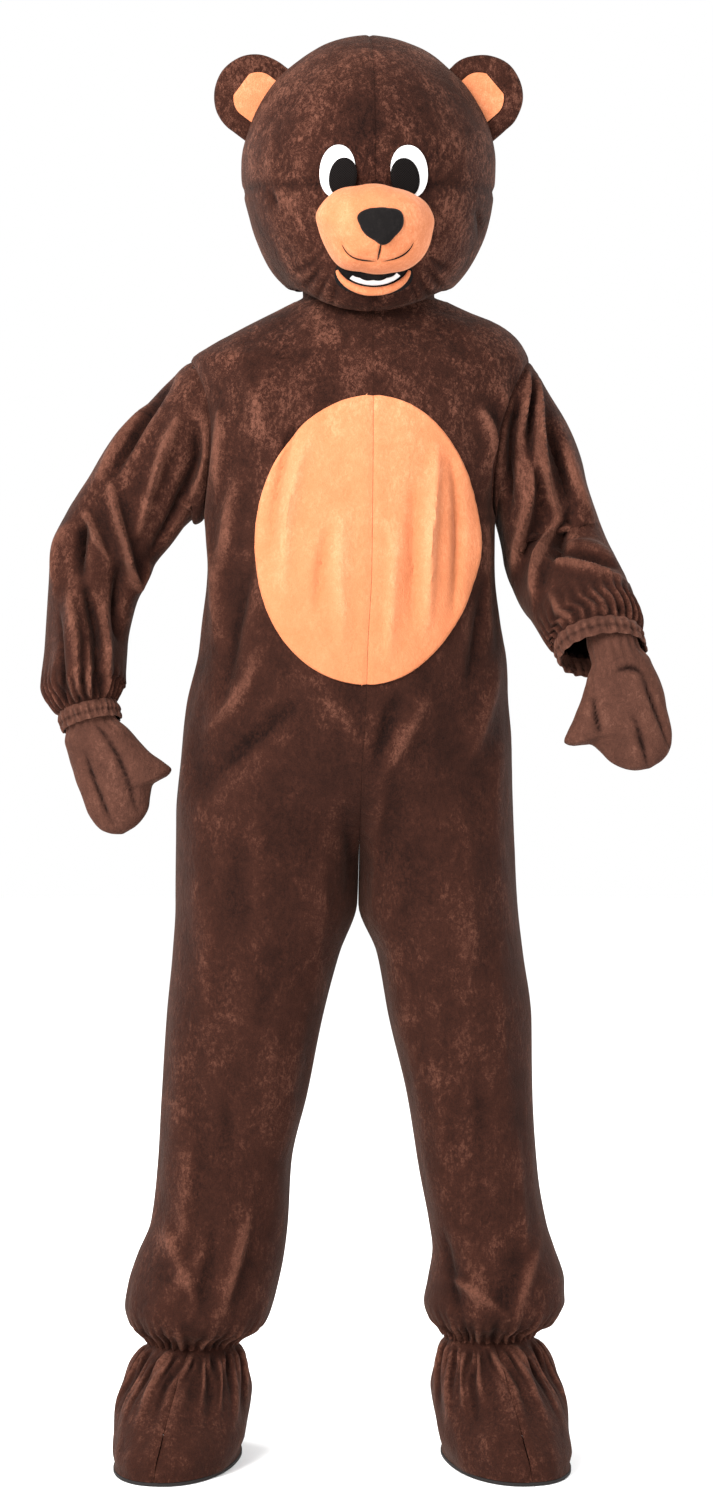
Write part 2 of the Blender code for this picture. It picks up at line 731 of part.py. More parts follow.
MITTEN_COLUMNS = ("along", "outer", "thumb", "half_thick")
MITTEN = Sections(
    MITTEN_COLUMNS,
    (
        (-0.034, -0.0270, 0.0270, 0.0235),
        (-0.012, -0.0320, 0.0320, 0.0275),
        (0.009, -0.0328, 0.0328, 0.0280),
        (0.028, -0.0400, 0.0450, 0.0300),
        (0.050, -0.0400, 0.0560, 0.0290),
        (0.067, -0.0390, 0.0660, 0.0285),
        (0.084, -0.0380, 0.0800, 0.0275),
        (0.094, -0.0370, 0.0860, 0.0265),
        (0.101, -0.0365, 0.0800, 0.0260),
        (0.107, -0.0360, 0.0580, 0.0255),
        (0.118, -0.0350, 0.0520, 0.0240),
        (0.134, -0.0310, 0.0450, 0.0210),
        (0.146, -0.0240, 0.0340, 0.0170),
        (0.154, -0.0140, 0.0220, 0.0115),
        (0.1585, -0.0020, 0.0070, 0.0040),
    ),
)
MITTEN_ROWS = (-0.034, 0.009, 0.028, 0.050, 0.067, 0.084, 0.094, 0.102, 0.108, 0.120, 0.136, 0.149, 0.157)
MITTEN_SIDES = 6
WRISTS = {  # wrist point, then the direction of the hand, in the part's frame
    "left": (place(-0.3567, -0.0389, 0.9663), (0.257, -0.060, -0.965)),
    "right": (place(0.3116, -0.1452, 1.0542), (0.300, -0.130, -0.944)),
}


def hand_frame(side):
    """The wrist, the hand's direction, the side of its thumb and the side of its back."""
    wrist, along = WRISTS[side]
    along = unit(np.array(along))
    thumb = unit(np.cross([0.0, 1.0, 0.0], along))
    thumb = thumb * (1 if (thumb[0] > 0) == (side == "left") else -1)
    front = unit(np.cross(along, thumb))
    return wrist, along, thumb, front * (-1 if front[1] > 0 else 1)


FINGER_LINES = (  # stitched lines across the back, as place across at the knuckles and at the tips
    (-0.012, -0.006),
    (0.016, 0.014),
)
FINGER_LINE_DEPTH = 0.0020
FINGER_LINE_WIDTH = 0.0035


def mitten_spread(side, along):
    """The right mitten is pressed flatter and wider past its wrist."""
    return 1 + (0.12 if side == "right" else 0.0) * smooth((along - 0.028) / 0.040)


def mitten(side, face):
    """Half of a mitten: u across from its outer edge to the thumb's, v along it in metres."""
    wrist, along, thumb, front = hand_frame(side)
    turn = 1 if face == "back" else -1

    def surface(u, v):
        outer, inner, half_thick = MITTEN.at(v)
        spread = mitten_spread(side, v)
        outer, inner = outer * spread, inner * spread
        angle = math.pi * (1 - u)
        across = (outer + inner) / 2 + (inner - outer) / 2 * np.cos(angle)
        deep = half_thick * np.sin(angle) ** 0.85
        return (
            wrist
            + along * v[..., None]
            + thumb * across[..., None]
            + front * (turn * deep)[..., None]
        )

    return surface


def mitten_inside(side):
    wrist, along, _, _ = hand_frame(side)
    return lambda v: wrist + along * v


def make_mittens():
    for side in ("left", "right"):
        for face in ("back", "palm"):
            panel(
                f"mitten_{face}_{side}",
                "brown_plush",
                mitten(side, face),
                MITTEN_ROWS,
                MITTEN_SIDES,
                MITTEN_CLOTH,
                mitten_inside(side),
            )


# Cuffs: the sleeve's elastic casing, ruffled round the wrist

CUFF_WAVES = 18
CUFF_WAVE_DEPTH = 0.0018
CUFF_HEIGHT = 0.022
CUFF_CLEAR = 0.0004


def cuff(side):
    """u round the casing, v down it in metres. Its inside clears the mitten's wrist."""
    end, half_width, half_depth = sleeve_spine(side, np.array(1.0))
    along, upper, back = sleeve_frame(side, np.array(1.0))
    _, hand_along, _, _ = hand_frame(side)

    def surface(u, v):
        turn = 2 * math.pi * u
        puff = 0.0024 * np.sin(math.pi * np.clip(v / CUFF_HEIGHT, 0, 1))
        lift = puff + CUFF_WAVE_DEPTH * (0.5 + 0.5 * np.cos(CUFF_WAVES * turn))
        wide, deep = half_width + lift, half_depth + lift
        share = smooth(v / CUFF_HEIGHT)[..., None]
        direction = unit(along * (1 - share) + hand_along * share)
        middle = end + direction * (v[..., None] + SEAM_GAP)
        return (
            middle
            + upper * (wide * np.sin(turn))[..., None]
            + back * (deep * np.cos(turn))[..., None]
        )

    return surface


def cuff_inside(side):
    end, _, _ = sleeve_spine(side, np.array(1.0))
    return lambda v: end


def make_cuffs():
    for side in ("left", "right"):
        panel(
            f"cuff_{side}",
            "brown_plush",
            cuff(side),
            (0.0, CUFF_HEIGHT * 0.5, CUFF_HEIGHT),
            2 * CUFF_WAVES,
            CLOTH,
            cuff_inside(side),
            closed=True,
        )


# Neckband: stands up inside the head's opening

NECKBAND = Sections(
    ("rise", "left", "right", "front", "back"),
    (
        (0.000, -0.0930, 0.1060, -0.0650, 0.0770),
        (0.007, -0.0815, 0.0888, -0.0600, 0.0700),
        (0.022, -0.0825, 0.0900, -0.0580, 0.0712),
    ),
)


def neckband(u, v):
    left, right, front, back = NECKBAND.at(v)
    return place(*ring(left, right, front, back, 2 * math.pi * u, 2.02), 1.500 + SEAM + v)


def make_neckband():
    panel(
        "neckband",
        "brown_plush",
        neckband,
        (SEAM, 0.007, 0.022),
        24,
        CLOTH,
        lambda v: place(0.006, 0.005, 1.500),
        closed=True,
    )


# Shoe covers: two sides and a sole each, gathered at the ankle

COVER_COLUMNS = ("height", "outer", "inner", "front", "back")
COVERS = {
    "left": Sections(
        COVER_COLUMNS,
        (
            (0.165, -0.0520, 0.0520, -0.0525, 0.0525),
            (0.150, -0.0551, 0.0551, -0.0556, 0.0556),
            (0.1445, -0.0563, 0.0563, -0.0568, 0.0568),
            (0.135, -0.0650, 0.0620, -0.0720, 0.0650),
            (0.110, -0.0790, 0.0700, -0.1050, 0.0780),
            (0.080, -0.0900, 0.0760, -0.1400, 0.0860),
            (0.050, -0.0940, 0.0770, -0.1700, 0.0900),
            (0.024, -0.0920, 0.0740, -0.1900, 0.0900),
            (0.005, -0.0860, 0.0690, -0.1940, 0.0880),
        ),
    ),
}
COVERS["right"] = COVERS["left"]
ANKLES = {"left": (-0.2256, 0.001, -10.0, 0.0), "right": (0.1615, 0.001, 12.0, 0.009)}
COVER_PLEATS = 8  # in each side piece
COVER_PLEAT_DEPTH = 0.0045
COVER_FULLNESS = 2.2
COVER_ROWS = (0.165, 0.150, 0.1445, 0.136, 0.118, 0.088, 0.056, 0.028, 0.005)
SOLE = 0.0030


def cover_ring(side, angle, height, lift=0.0):
    """The shoe cover at an angle round it, 0 in front and 90 degrees on its outer side."""
    x, y, toe_out, rise = ANKLES[side]
    top = COVERS[side].high
    share = np.clip((height - 0.005) / (top - 0.005), 0, 1)
    outer, inner, front, back = COVERS[side].at(height)
    across, ahead = ring(-inner, -outer, front, back, angle, COVER_FULLNESS)
    grow = 1 + lift / np.maximum(np.hypot(across, ahead), 0.02)
    across, ahead = across * grow, ahead * grow
    hand = 1 if side == "right" else -1
    turn = math.radians(toe_out) * (1 - 0.6 * share)
    px = x + hand * across * np.cos(turn) - ahead * np.sin(turn)
    py = y + hand * across * np.sin(turn) + ahead * np.cos(turn)
    return place(px, py, height + rise * share)


def pleat_lift(u, height):
    """The gathers below the elastic, deepest at the ankle and gone above the sole."""
    fade = smooth((0.1445 - height) / 0.014) * smooth((height - 0.045) / 0.075)
    return COVER_PLEAT_DEPTH * fade * np.cos(2 * math.pi * COVER_PLEATS * u)


def cover(side, half):
    start = 0.0 if half == "outer" else math.pi

    def surface(u, v):
        angle = start + math.pi * u
        return cover_ring(side, angle, v, pleat_lift(u, v))

    return surface


def cover_inside(side):
    x, y, _, _ = ANKLES[side]
    return lambda v: place(x, y, v)


def make_covers():
    for side in ("left", "right"):
        for half in ("outer", "inner"):
            panel(
                f"shoe_cover_{half}_{side}",
                "brown_plush",
                cover(side, half),
                COVER_ROWS,
                lambda v: np.linspace(0, 1, 2 * COVER_PLEATS + 1 if v > 0.045 else 11),
                CLOTH,
                cover_inside(side),
            )
        make_sole(side)


def make_sole(side):
    """A flat sole under the cover's edge."""
    low, high = 0.0, 0.005 - 2 * SEAM_GAP
    angles = np.linspace(0, 2 * math.pi, 40, endpoint=False)
    edge = cover_ring(side, angles, np.full(len(angles), 0.005))
    x, y, _, _ = ANKLES[side]
    rows = []
    for height in (high, low):
        row = edge.copy()
        row[:, 2] = height - NECK_HEIGHT
        rows.append(row)
    points = np.vstack(rows)
    count = len(angles)
    faces = [tuple(range(count)), tuple(range(2 * count - 1, count - 1, -1))]
    for i in range(count):
        j = (i + 1) % count
        faces.append((i, count + i, count + j, j))
    add_solid(f"sole_{side}", "sole_cloth", points, faces)


# Head: six padded panels round a hollow, open at the neck

HEAD_X = 0.0040
HEAD_Y = -0.0120
HEAD_HEIGHT = 1.6770  # its widest level
HEAD_TURN = math.radians(3)  # to the viewer's right
HEAD_HALF_WIDTH = 0.1630
HEAD_FRONT = 0.1580
HEAD_BACK = 0.1600
HEAD_TOP = 0.1650
HEAD_FOOT = {"side": 0.2000, "front": 0.0430, "back": -0.0100}
HEAD_TOP_FULLNESS = 1.82
HEAD_FOOT_FULLNESS = 2.20
RIM_ANGLE = math.radians(145)
CHEEK_ANGLE = math.radians(99)
HEAD_COLUMNS = 6


def head(angle, drop):
    """The head's outer form: angle 0 in front and 90 degrees on the viewer's right, drop from its top."""
    ahead, across = np.cos(angle), np.sin(angle)
    deep = np.where(ahead > 0, HEAD_FRONT, HEAD_BACK)
    lean = np.where(ahead > 0, HEAD_FOOT["front"], HEAD_FOOT["back"])
    foot = HEAD_FOOT["side"] + lean * ahead**2
    top = drop < math.pi / 2
    fullness = np.where(top, HEAD_TOP_FULLNESS, HEAD_FOOT_FULLNESS)
    wide = np.sin(drop) ** (2 / fullness)
    rise = power(np.cos(drop), 2 / fullness) * np.where(top, HEAD_TOP, foot)
    x, y = HEAD_HALF_WIDTH * across * wide, -deep * ahead * wide
    turned_x = HEAD_X + x * math.cos(HEAD_TURN) - y * math.sin(HEAD_TURN)
    turned_y = HEAD_Y + x * math.sin(HEAD_TURN) + y * math.cos(HEAD_TURN)
    return place(turned_x, turned_y, HEAD_HEIGHT + rise)


def head_panel(start, end, top, foot):
    """Part of the head between two angles and two drops: u across and v down."""

    def surface(u, v):
        drop = np.maximum(top + (foot - top) * v, 4e-3)
        return head(start + (end - start) * u, drop)

    return surface


def make_head():
    centre = place(HEAD_X, HEAD_Y, HEAD_HEIGHT)
    side_angle = math.radians(96)
    panels = {
        "forehead_left": (-side_angle, 0.0, 0.0, CHEEK_ANGLE),
        "forehead_right": (0.0, side_angle, 0.0, CHEEK_ANGLE),
        "cheek_left": (-side_angle, 0.0, CHEEK_ANGLE, RIM_ANGLE),
        "cheek_right": (0.0, side_angle, CHEEK_ANGLE, RIM_ANGLE),
        "head_back_left": (-math.pi, -side_angle, 0.0, RIM_ANGLE),
        "head_back_right": (side_angle, math.pi, 0.0, RIM_ANGLE),
    }
    for name, (start, end, top, foot) in panels.items():
        steps = max(4, round((foot - top) / math.radians(14)))
        rows = list(np.linspace(0, 1, steps + 1))
        trim = SEAM / (HEAD_HALF_WIDTH * (foot - top))
        rows[0] = 0.0002 / (HEAD_HALF_WIDTH * (foot - top)) if top == 0 else trim
        rows[-1] -= trim
        panel(
            name,
            "brown_plush",
            head_panel(start, end, top, foot),
            rows,
            HEAD_COLUMNS,
            HEAD_WALL,
            lambda v: centre,
            radial=True,
        )


def head_measure(point):
    """Below 0 inside the head's outer form and above 0 outside it."""
    x, y = point[..., 0] - HEAD_X, point[..., 1] - HEAD_Y
    height = point[..., 2] + NECK_HEIGHT - HEAD_HEIGHT
    across = x * math.cos(HEAD_TURN) + y * math.sin(HEAD_TURN)
    ahead = x * math.sin(HEAD_TURN) - y * math.cos(HEAD_TURN)
    deep = np.where(ahead > 0, HEAD_FRONT, HEAD_BACK)
    wide = np.hypot(across / HEAD_HALF_WIDTH, ahead / deep)
    share = (ahead / deep) ** 2 / np.maximum(wide**2, 1e-9)
    lean = np.where(ahead > 0, HEAD_FOOT["front"], HEAD_FOOT["back"])
    tall = np.where(height > 0, HEAD_TOP, HEAD_FOOT["side"] + lean * share)
    fullness = np.where(height > 0, HEAD_TOP_FULLNESS, HEAD_FOOT_FULLNESS)
    return wide**fullness + np.abs(height / tall) ** fullness - 1


def meet_head(start, direction, reach):
    """Where lines from outside reach the head's form, by halving."""
    near, far = np.zeros(start.shape[:-1]), np.full(start.shape[:-1], reach)
    for _ in range(30):
        half = (near + far) / 2
        outside = head_measure(start + direction * half[..., None]) > 0
        near, far = np.where(outside, half, near), np.where(outside, far, half)
    return start + direction * near[..., None]


def on_face(x, height):
    """The point of the face at x and a height, and the way out of it."""
    x, height = np.broadcast_arrays(x, height)
    start = place(x, np.full(x.shape, -0.40), height)
    point = meet_head(start, np.array([0.0, 1.0, 0.0]), 0.40)
    slope = []
    for step in np.eye(3) * NUDGE:
        slope.append(head_measure(point + step) - head_measure(point - step))
    return point, unit(np.stack(slope, axis=-1))


# Face pieces that lie flat: centre x, centre height, half width, half height, fullness, lift, and the
# lean of the piece in degrees, its top towards the middle of the face
FLAT_COLUMNS = ("x", "height", "half_width", "half_height", "fullness", "lift", "lean")
FLAT_PIECES = {
    "eye_white_left": ("white_felt", (-0.0356, 1.6490, 0.0220, 0.0325, 2.1, 0.0008, 4)),
    "eye_white_right": ("white_felt", (0.0536, 1.6490, 0.0230, 0.0325, 2.1, 0.0008, -4)),
    "eye_mesh_left": ("black_mesh", (-0.0285, 1.6415, 0.0170, 0.0240, 2.1, 0.0026, 8)),
    "eye_mesh_right": ("black_mesh", (0.0480, 1.6413, 0.0176, 0.0240, 2.1, 0.0026, -8)),
    "mouth_lining": ("black_plush", (0.0095, 1.5240, 0.0490, 0.0250, 2.2, 0.0006, 0)),
}
FLAT_SIDES = 16
FLAT_RINGS = (0.5, 1.0)


def flat_piece(name, finish, x, height, half_width, half_height, fullness, lift, lean):
    """An oval of cloth on the face: a middle point and rings of points out to its edge."""
    turn = math.radians(lean)
    sides = [(0.0, 0.0)]
    for share in FLAT_RINGS:
        for k in range(FLAT_SIDES):
            angle = 2 * math.pi * k / FLAT_SIDES
            across = power(math.cos(angle), 2 / fullness) * half_width * share
            rise = power(math.sin(angle), 2 / fullness) * half_height * share
            sides.append(
                (
                    across * math.cos(turn) + rise * math.sin(turn),
                    rise * math.cos(turn) - across * math.sin(turn),
                )
            )
    sides = np.array(sides)
    point, normal = on_face(x + sides[:, 0], height + sides[:, 1])
    add_disc(name, finish, point + normal * (lift + FELT), point + normal * lift, FLAT_SIDES)


def add_disc(name, finish, outer, inner, around):
    """A solid between two sheets that each start at a middle point and widen ring by ring."""
    count = len(outer)
    rings = (count - 1) // around
    points = np.vstack([outer, inner])
    faces = []
    for k in range(around):
        after = (k + 1) % around
        faces.append((0, 1 + k, 1 + after))
        faces.append((count, count + 1 + after, count + 1 + k))
        for row in range(rings - 1):
            a, b = 1 + row * around + k, 1 + row * around + after
            c, d = a + around, b + around
            faces.append((a, c, d, b))
            faces.append((count + a, count + b, count + d, count + c))
        a, b = 1 + (rings - 1) * around + k, 1 + (rings - 1) * around + after
        faces.append((a, count + a, count + b, b))
    return add_solid(name, finish, points, faces)


# Muzzle and nose: stuffed mounds

MUZZLE = {"x": 0.0100, "height": 1.5760, "out": 0.0600}
MUZZLE_BASE = 0.0045  # it rides over the edges of the eyes and the mouth lining
MUZZLE_SIDES = 24
MUZZLE_RINGS = (0.26, 0.50, 0.70, 0.86, 0.955, 1.0)
OUTLINE_COLUMNS = ("turn", "reach")  # degrees from the viewer's right over the top, and metres
MUZZLE_OUTLINE = Sections(
    OUTLINE_COLUMNS,
    (
        (0, 0.0693),
        (15, 0.0735),
        (28, 0.0719),
        (46, 0.0646),
        (72, 0.0568),
        (106, 0.0575),
        (133, 0.0674),
        (147, 0.0711),
        (162, 0.0738),
        (177, 0.0675),
        (199, 0.0614),
        (224, 0.0590),
        (255, 0.0504),
        (289, 0.0524),
        (310, 0.0586),
        (332, 0.0644),
        (360, 0.0693),
    ),
)
NOSE = {"x": 0.0034, "rise": 0.0085, "out": 0.0100}  # its middle, from the muzzle's
NOSE_SIDES = 18
NOSE_RINGS = (0.4, 0.75, 0.94, 1.0)
NOSE_OUTLINE = Sections(
    OUTLINE_COLUMNS,
    (
        (0, 0.0245),
        (28, 0.0262),
        (67, 0.0190),
        (98, 0.0180),
        (130, 0.0212),
        (160, 0.0256),
        (187, 0.0214),
        (245, 0.0190),
        (280, 0.0236),
        (318, 0.0206),
        (360, 0.0245),
    ),
)


def outline_reach(outline, across, rise):
    """How far an outline lies from its middle in a direction."""
    (reach,) = outline.at(np.degrees(np.arctan2(rise, across)) % 360)
    return reach


def muzzle_base(across, rise):
    """The face behind a place of the muzzle, given from its middle."""
    return on_face(MUZZLE["x"] + across, MUZZLE["height"] + rise)


def muzzle_point(across, rise):
    """The muzzle's skin over a place, given from its middle."""
    share = np.clip(np.hypot(across, rise) / outline_reach(MUZZLE_OUTLINE, across, rise), 0, 1)
    dome = (1 - share**2.8) ** 0.52
    base, normal = muzzle_base(across, rise)
    level = unit(np.broadcast_to([0.06, -1.0, -0.04], base.shape))
    lean = unit(normal * 0.35 + level * 0.65)
    return base + normal * MUZZLE_BASE + lean * (MUZZLE["out"] * dome)[..., None]


def muzzle_normal(across, rise):
    step = 0.0006
    slope_x = muzzle_point(across + step, rise) - muzzle_point(across - step, rise)
    slope_z = muzzle_point(across, rise + step) - muzzle_point(across, rise - step)
    normal = unit(np.cross(slope_x, slope_z))
    return normal * np.sign(-normal[..., 1:2])


def oval(sides, rings, fullness):
    """Points of an oval of half size 1: its middle, then ring by ring."""
    places = [(0.0, 0.0)]
    for share in rings:
        for k in range(sides):
            angle = 2 * math.pi * k / sides
            across = power(math.cos(angle), 2 / fullness) * share
            places.append((across, power(math.sin(angle), 2 / fullness) * share))
    return np.array(places).T


def make_muzzle():
    across, rise = oval(MUZZLE_SIDES, MUZZLE_RINGS, 2.0)
    reach = outline_reach(MUZZLE_OUTLINE, across, rise)
    across, rise = across * reach, rise * reach
    outer = muzzle_point(across, rise)
    base, normal = muzzle_base(across, rise)
    inner = base + normal * MUZZLE_BASE
    outer[-MUZZLE_SIDES:] = inner[-MUZZLE_SIDES:] + normal[-MUZZLE_SIDES:] * CLOTH
    add_disc("muzzle", "tan_plush", outer, inner, MUZZLE_SIDES)

    across, rise = oval(NOSE_SIDES, NOSE_RINGS, 2.0)
    share = np.clip(np.hypot(across, rise), 0, 1)
    reach = outline_reach(NOSE_OUTLINE, across, rise)
    across, rise = NOSE["x"] + across * reach, NOSE["rise"] + rise * reach
    skin, normal = muzzle_point(across, rise), muzzle_normal(across, rise)
    puff = 0.0020 + NOSE["out"] * (1 - share**3) ** 0.6
    inner = skin + normal * 0.0006
    outer = skin + normal * (0.0006 + puff)[..., None]
    add_disc("nose", "black_plush", outer, inner, NOSE_SIDES)


# Lower lip and teeth: strips that follow the mouth's curve

MOUTH = {"x": 0.0090, "height": 1.5400, "half_width": 0.0462, "drop": 0.0340}
LIP_END = 73  # degrees from its foot at which the lip runs out
LIP_THICK = 0.0056
LIP_STEPS = 14
LIP_SIDES = 8
TEETH = {"start": -45, "end": 54, "inset": 0.0084, "half_height": 0.0032, "lift": 0.0026}
TEETH_STEPS = 10


def mouth_point(degrees, inset=0.0):
    """A point of the face on the mouth's curve, 0 at its foot, and the way towards its middle."""
    turn = np.radians(degrees)
    across, drop = MOUTH["half_width"] - inset, MOUTH["drop"] - inset
    x = MOUTH["x"] + across * np.sin(turn)
    height = MOUTH["height"] - drop * np.cos(turn)
    point, normal = on_face(x, height)
    inward = unit(np.stack([-np.sin(turn) / across, 0 * turn, np.cos(turn) / drop], axis=-1))
    inward = unit(inward - normal * np.sum(inward * normal, axis=-1, keepdims=True))
    return point, normal, inward


def make_lip():
    turns = np.linspace(-LIP_END, LIP_END, LIP_STEPS + 1)
    point, normal, inward = mouth_point(turns)
    taper = np.clip(np.cos(np.radians(turns / LIP_END * 90)), 0, 1) ** 0.6
    radius = LIP_THICK * (0.30 + 0.70 * taper)
    rows = []
    for k in range(LIP_STEPS + 1):
        middle = point[k] + normal[k] * (0.0025 + radius[k] * 0.9)
        angles = 2 * math.pi * np.arange(LIP_SIDES) / LIP_SIDES
        rows.append(
            middle
            + np.outer(np.cos(angles), inward[k]) * radius[k]
            + np.outer(np.sin(angles), normal[k]) * radius[k] * 0.9
        )
    points = np.vstack(rows)
    faces = []
    for k in range(LIP_STEPS):
        for j in range(LIP_SIDES):
            after = (j + 1) % LIP_SIDES
            a, b = k * LIP_SIDES + j, k * LIP_SIDES + after
            faces.append((a, b, b + LIP_SIDES, a + LIP_SIDES))
    faces.append(tuple(range(LIP_SIDES))[::-1])
    faces.append(tuple(range(LIP_STEPS * LIP_SIDES, (LIP_STEPS + 1) * LIP_SIDES)))
    add_solid("lower_lip", "tan_plush", points, faces)


def make_teeth():
    turns = np.linspace(TEETH["start"], TEETH["end"], TEETH_STEPS + 1)
    rows = {"outer": [], "inner": []}
    for side in (-1, 1):
        inset = TEETH["inset"] + side * TEETH["half_height"]
        point, normal, _ = mouth_point(turns, inset)
        rows["inner"].append(point + normal * TEETH["lift"])
        rows["outer"].append(point + normal * (TEETH["lift"] + FELT))
    wall("teeth", "white_felt", rows["outer"], rows["inner"], False)


# Ears: stuffed half rounds sewn to the head, with a tan lining on the front

EAR_COLUMNS = ("x", "y", "height", "out_x", "out_height", "radius")
EARS = {
    "left": (-0.1420, -0.0250, 1.7620, -0.80, 0.60, 0.0535),
    "right": (0.1490, -0.0180, 1.7630, 0.76, 0.65, 0.0535),
}
EAR_HALF_DEPTH = 0.0150
EAR_SIDES = 20
EAR_STEPS = (-0.05, 0.16, 0.45, 0.70, 0.88, 0.975)
EAR_LINING = {"sides": 9, "steps": (0.0, 0.13, 0.25, 0.34, 0.41), "share": 0.37, "fade": 0.50}


def ear_frame(side):
    x, y, height, out_x, out_height, radius = EARS[side]
    out = unit(np.array([out_x, 0.0, out_height]))
    across = np.array([out[2], 0.0, -out[0]])
    return place(x, y, height), out, across, radius


def ear_point(side, turn, step, lift=0.0):
    """The ear's skin at a turn round it and a step from its middle (-1) to its rim (1)."""
    middle, out, across, radius = ear_frame(side)
    round_share = np.sqrt(np.clip(1 - np.asarray(step) ** 2, 0, 1))
    wide = radius * round_share + lift
    deep = EAR_HALF_DEPTH * round_share**0.7 + lift
    return (
        middle
        + out * (radius * step)
        + np.outer(np.cos(turn), across) * wide
        + np.outer(np.sin(turn), np.array([0.0, 1.0, 0.0])) * deep
    )


def make_ears():
    for side in ("left", "right"):
        _, out, _, _ = ear_frame(side)
        turn = 2 * math.pi * np.arange(EAR_SIDES) / EAR_SIDES
        rows = [ear_point(side, turn, step) for step in EAR_STEPS]
        root = meet_head(rows[0], -out, 0.12) + out * 0.0004
        rows.insert(0, root)
        tip = ear_point(side, turn[:1], 1.0)
        middle = meet_head(root.mean(axis=0)[None, :] + out * 0.05, -out, 0.15) + out * 0.0110
        points = np.vstack([*rows, tip, middle])
        last = len(points) - 1
        faces = []
        for k in range(len(rows) - 1):
            for j in range(EAR_SIDES):
                after = (j + 1) % EAR_SIDES
                a, b = k * EAR_SIDES + j, k * EAR_SIDES + after
                faces.append((a, b, b + EAR_SIDES, a + EAR_SIDES))
        for j in range(EAR_SIDES):
            after = (j + 1) % EAR_SIDES
            top = (len(rows) - 1) * EAR_SIDES
            faces.append((top + j, top + after, last - 1))
            faces.append((after, j, last))
        add_solid(f"ear_{side}", "brown_plush", points, faces)

        outer, inner = [], []
        spread = math.pi * EAR_LINING["share"] / 2
        for step in EAR_LINING["steps"]:
            narrow = math.sqrt(1 - (step / EAR_LINING["fade"]) ** 2)
            turns = -math.pi / 2 + spread * narrow * np.linspace(-1, 1, EAR_LINING["sides"])
            inner.append(ear_point(side, turns, step, 0.0008))
            outer.append(ear_point(side, turns, step, 0.0008 + FELT))
        reach = meet_head(inner[0], -out, 0.12) + out * 0.0030
        inner.insert(0, reach)
        outer.insert(0, reach + np.array([0.0, -FELT, 0.0]))
        wall(f"ear_lining_{side}", "tan_plush", outer, inner, False)


# Back flap: covers the zip, over the centre back seam

FLAP_TOP, FLAP_FOOT = 1.494, 0.950
FLAP_HALF_SHARE = 0.075


def make_back_flap():
    rows = [h for h in body_rows("left", "back") if FLAP_FOOT - 0.012 < h < FLAP_TOP]
    outer, inner = [], []
    for height in rows:
        points, normal = [], []
        for side, share in (("left", 1), ("left", 0.02), ("right", 1)):
            surface = body(side, "back")
            at = np.array([height])
            u = np.array([share * FLAP_HALF_SHARE])
            points.append(surface(u, at)[0])
            normal.append(normals(surface, u, at, body_inside(side)(height))[0])
        points, normal = np.array(points), np.array(normal)
        inner.append(points + normal * 0.0006)
        outer.append(points + normal * (0.0006 + CLOTH))
    wall("back_flap", "brown_plush", outer, inner, False)


def main():
    for old in list(bpy.data.objects):
        bpy.data.objects.remove(old)
    make_body()
    make_belly()
    make_back_flap()
    make_sleeves()
    make_mittens()
    make_cuffs()
    make_neckband()
    make_covers()
    make_head()
    for name, (finish, numbers) in FLAT_PIECES.items():
        flat_piece(name, finish, *numbers)
    make_muzzle()
    make_lip()
    make_teeth()
    make_ears()


main()
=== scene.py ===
"""Looks of the bear costume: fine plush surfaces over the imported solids, with their folds, gathers,
seams and stitches, and the photo's camera, lights and floor.

Every piece is built from the same sections as its solid. Heights are above the floor, in metres, and
place() moves them into the frame, whose origin is between the shoulders. +X is the viewer's right,
-Y the front and +Z up; left and right are the viewer's.
"""

import json
import math

import bpy
import numpy as np
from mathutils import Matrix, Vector

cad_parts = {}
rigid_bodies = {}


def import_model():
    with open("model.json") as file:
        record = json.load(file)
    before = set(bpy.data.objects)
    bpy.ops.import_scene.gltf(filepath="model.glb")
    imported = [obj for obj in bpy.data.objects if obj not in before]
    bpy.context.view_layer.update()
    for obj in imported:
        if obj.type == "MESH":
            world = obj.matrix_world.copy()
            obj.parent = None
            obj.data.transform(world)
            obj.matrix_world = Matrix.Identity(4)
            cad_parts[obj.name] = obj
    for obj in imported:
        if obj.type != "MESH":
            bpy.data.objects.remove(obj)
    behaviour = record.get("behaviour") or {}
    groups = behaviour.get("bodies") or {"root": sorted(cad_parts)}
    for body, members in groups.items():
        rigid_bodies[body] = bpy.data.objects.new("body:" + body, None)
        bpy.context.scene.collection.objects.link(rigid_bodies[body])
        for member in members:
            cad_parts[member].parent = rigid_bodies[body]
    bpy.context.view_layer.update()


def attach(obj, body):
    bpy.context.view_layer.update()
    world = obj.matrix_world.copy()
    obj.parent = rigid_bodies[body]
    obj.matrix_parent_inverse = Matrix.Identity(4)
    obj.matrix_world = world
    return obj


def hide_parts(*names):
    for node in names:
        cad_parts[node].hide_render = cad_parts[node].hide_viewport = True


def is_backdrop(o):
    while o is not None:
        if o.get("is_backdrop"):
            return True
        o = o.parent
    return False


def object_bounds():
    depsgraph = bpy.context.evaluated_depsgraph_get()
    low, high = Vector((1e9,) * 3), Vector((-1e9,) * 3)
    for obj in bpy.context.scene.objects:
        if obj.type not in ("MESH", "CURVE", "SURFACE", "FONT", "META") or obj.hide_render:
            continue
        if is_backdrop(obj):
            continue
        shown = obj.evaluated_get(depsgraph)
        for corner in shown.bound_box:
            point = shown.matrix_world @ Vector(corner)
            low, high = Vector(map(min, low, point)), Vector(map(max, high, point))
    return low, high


NECK_HEIGHT = 1.480  # height of the origin above the floor
CLOTH = 0.0020  # wall of the plush
FELT = 0.0015  # wall of the eye and mouth cloth
MITTEN_CLOTH = 0.0030  # wall of the lightly padded mittens
HEAD_WALL = 0.0120  # wall of the foam-backed head
SEAM_GAP = 0.0003  # between two pieces that are sewn or lie together
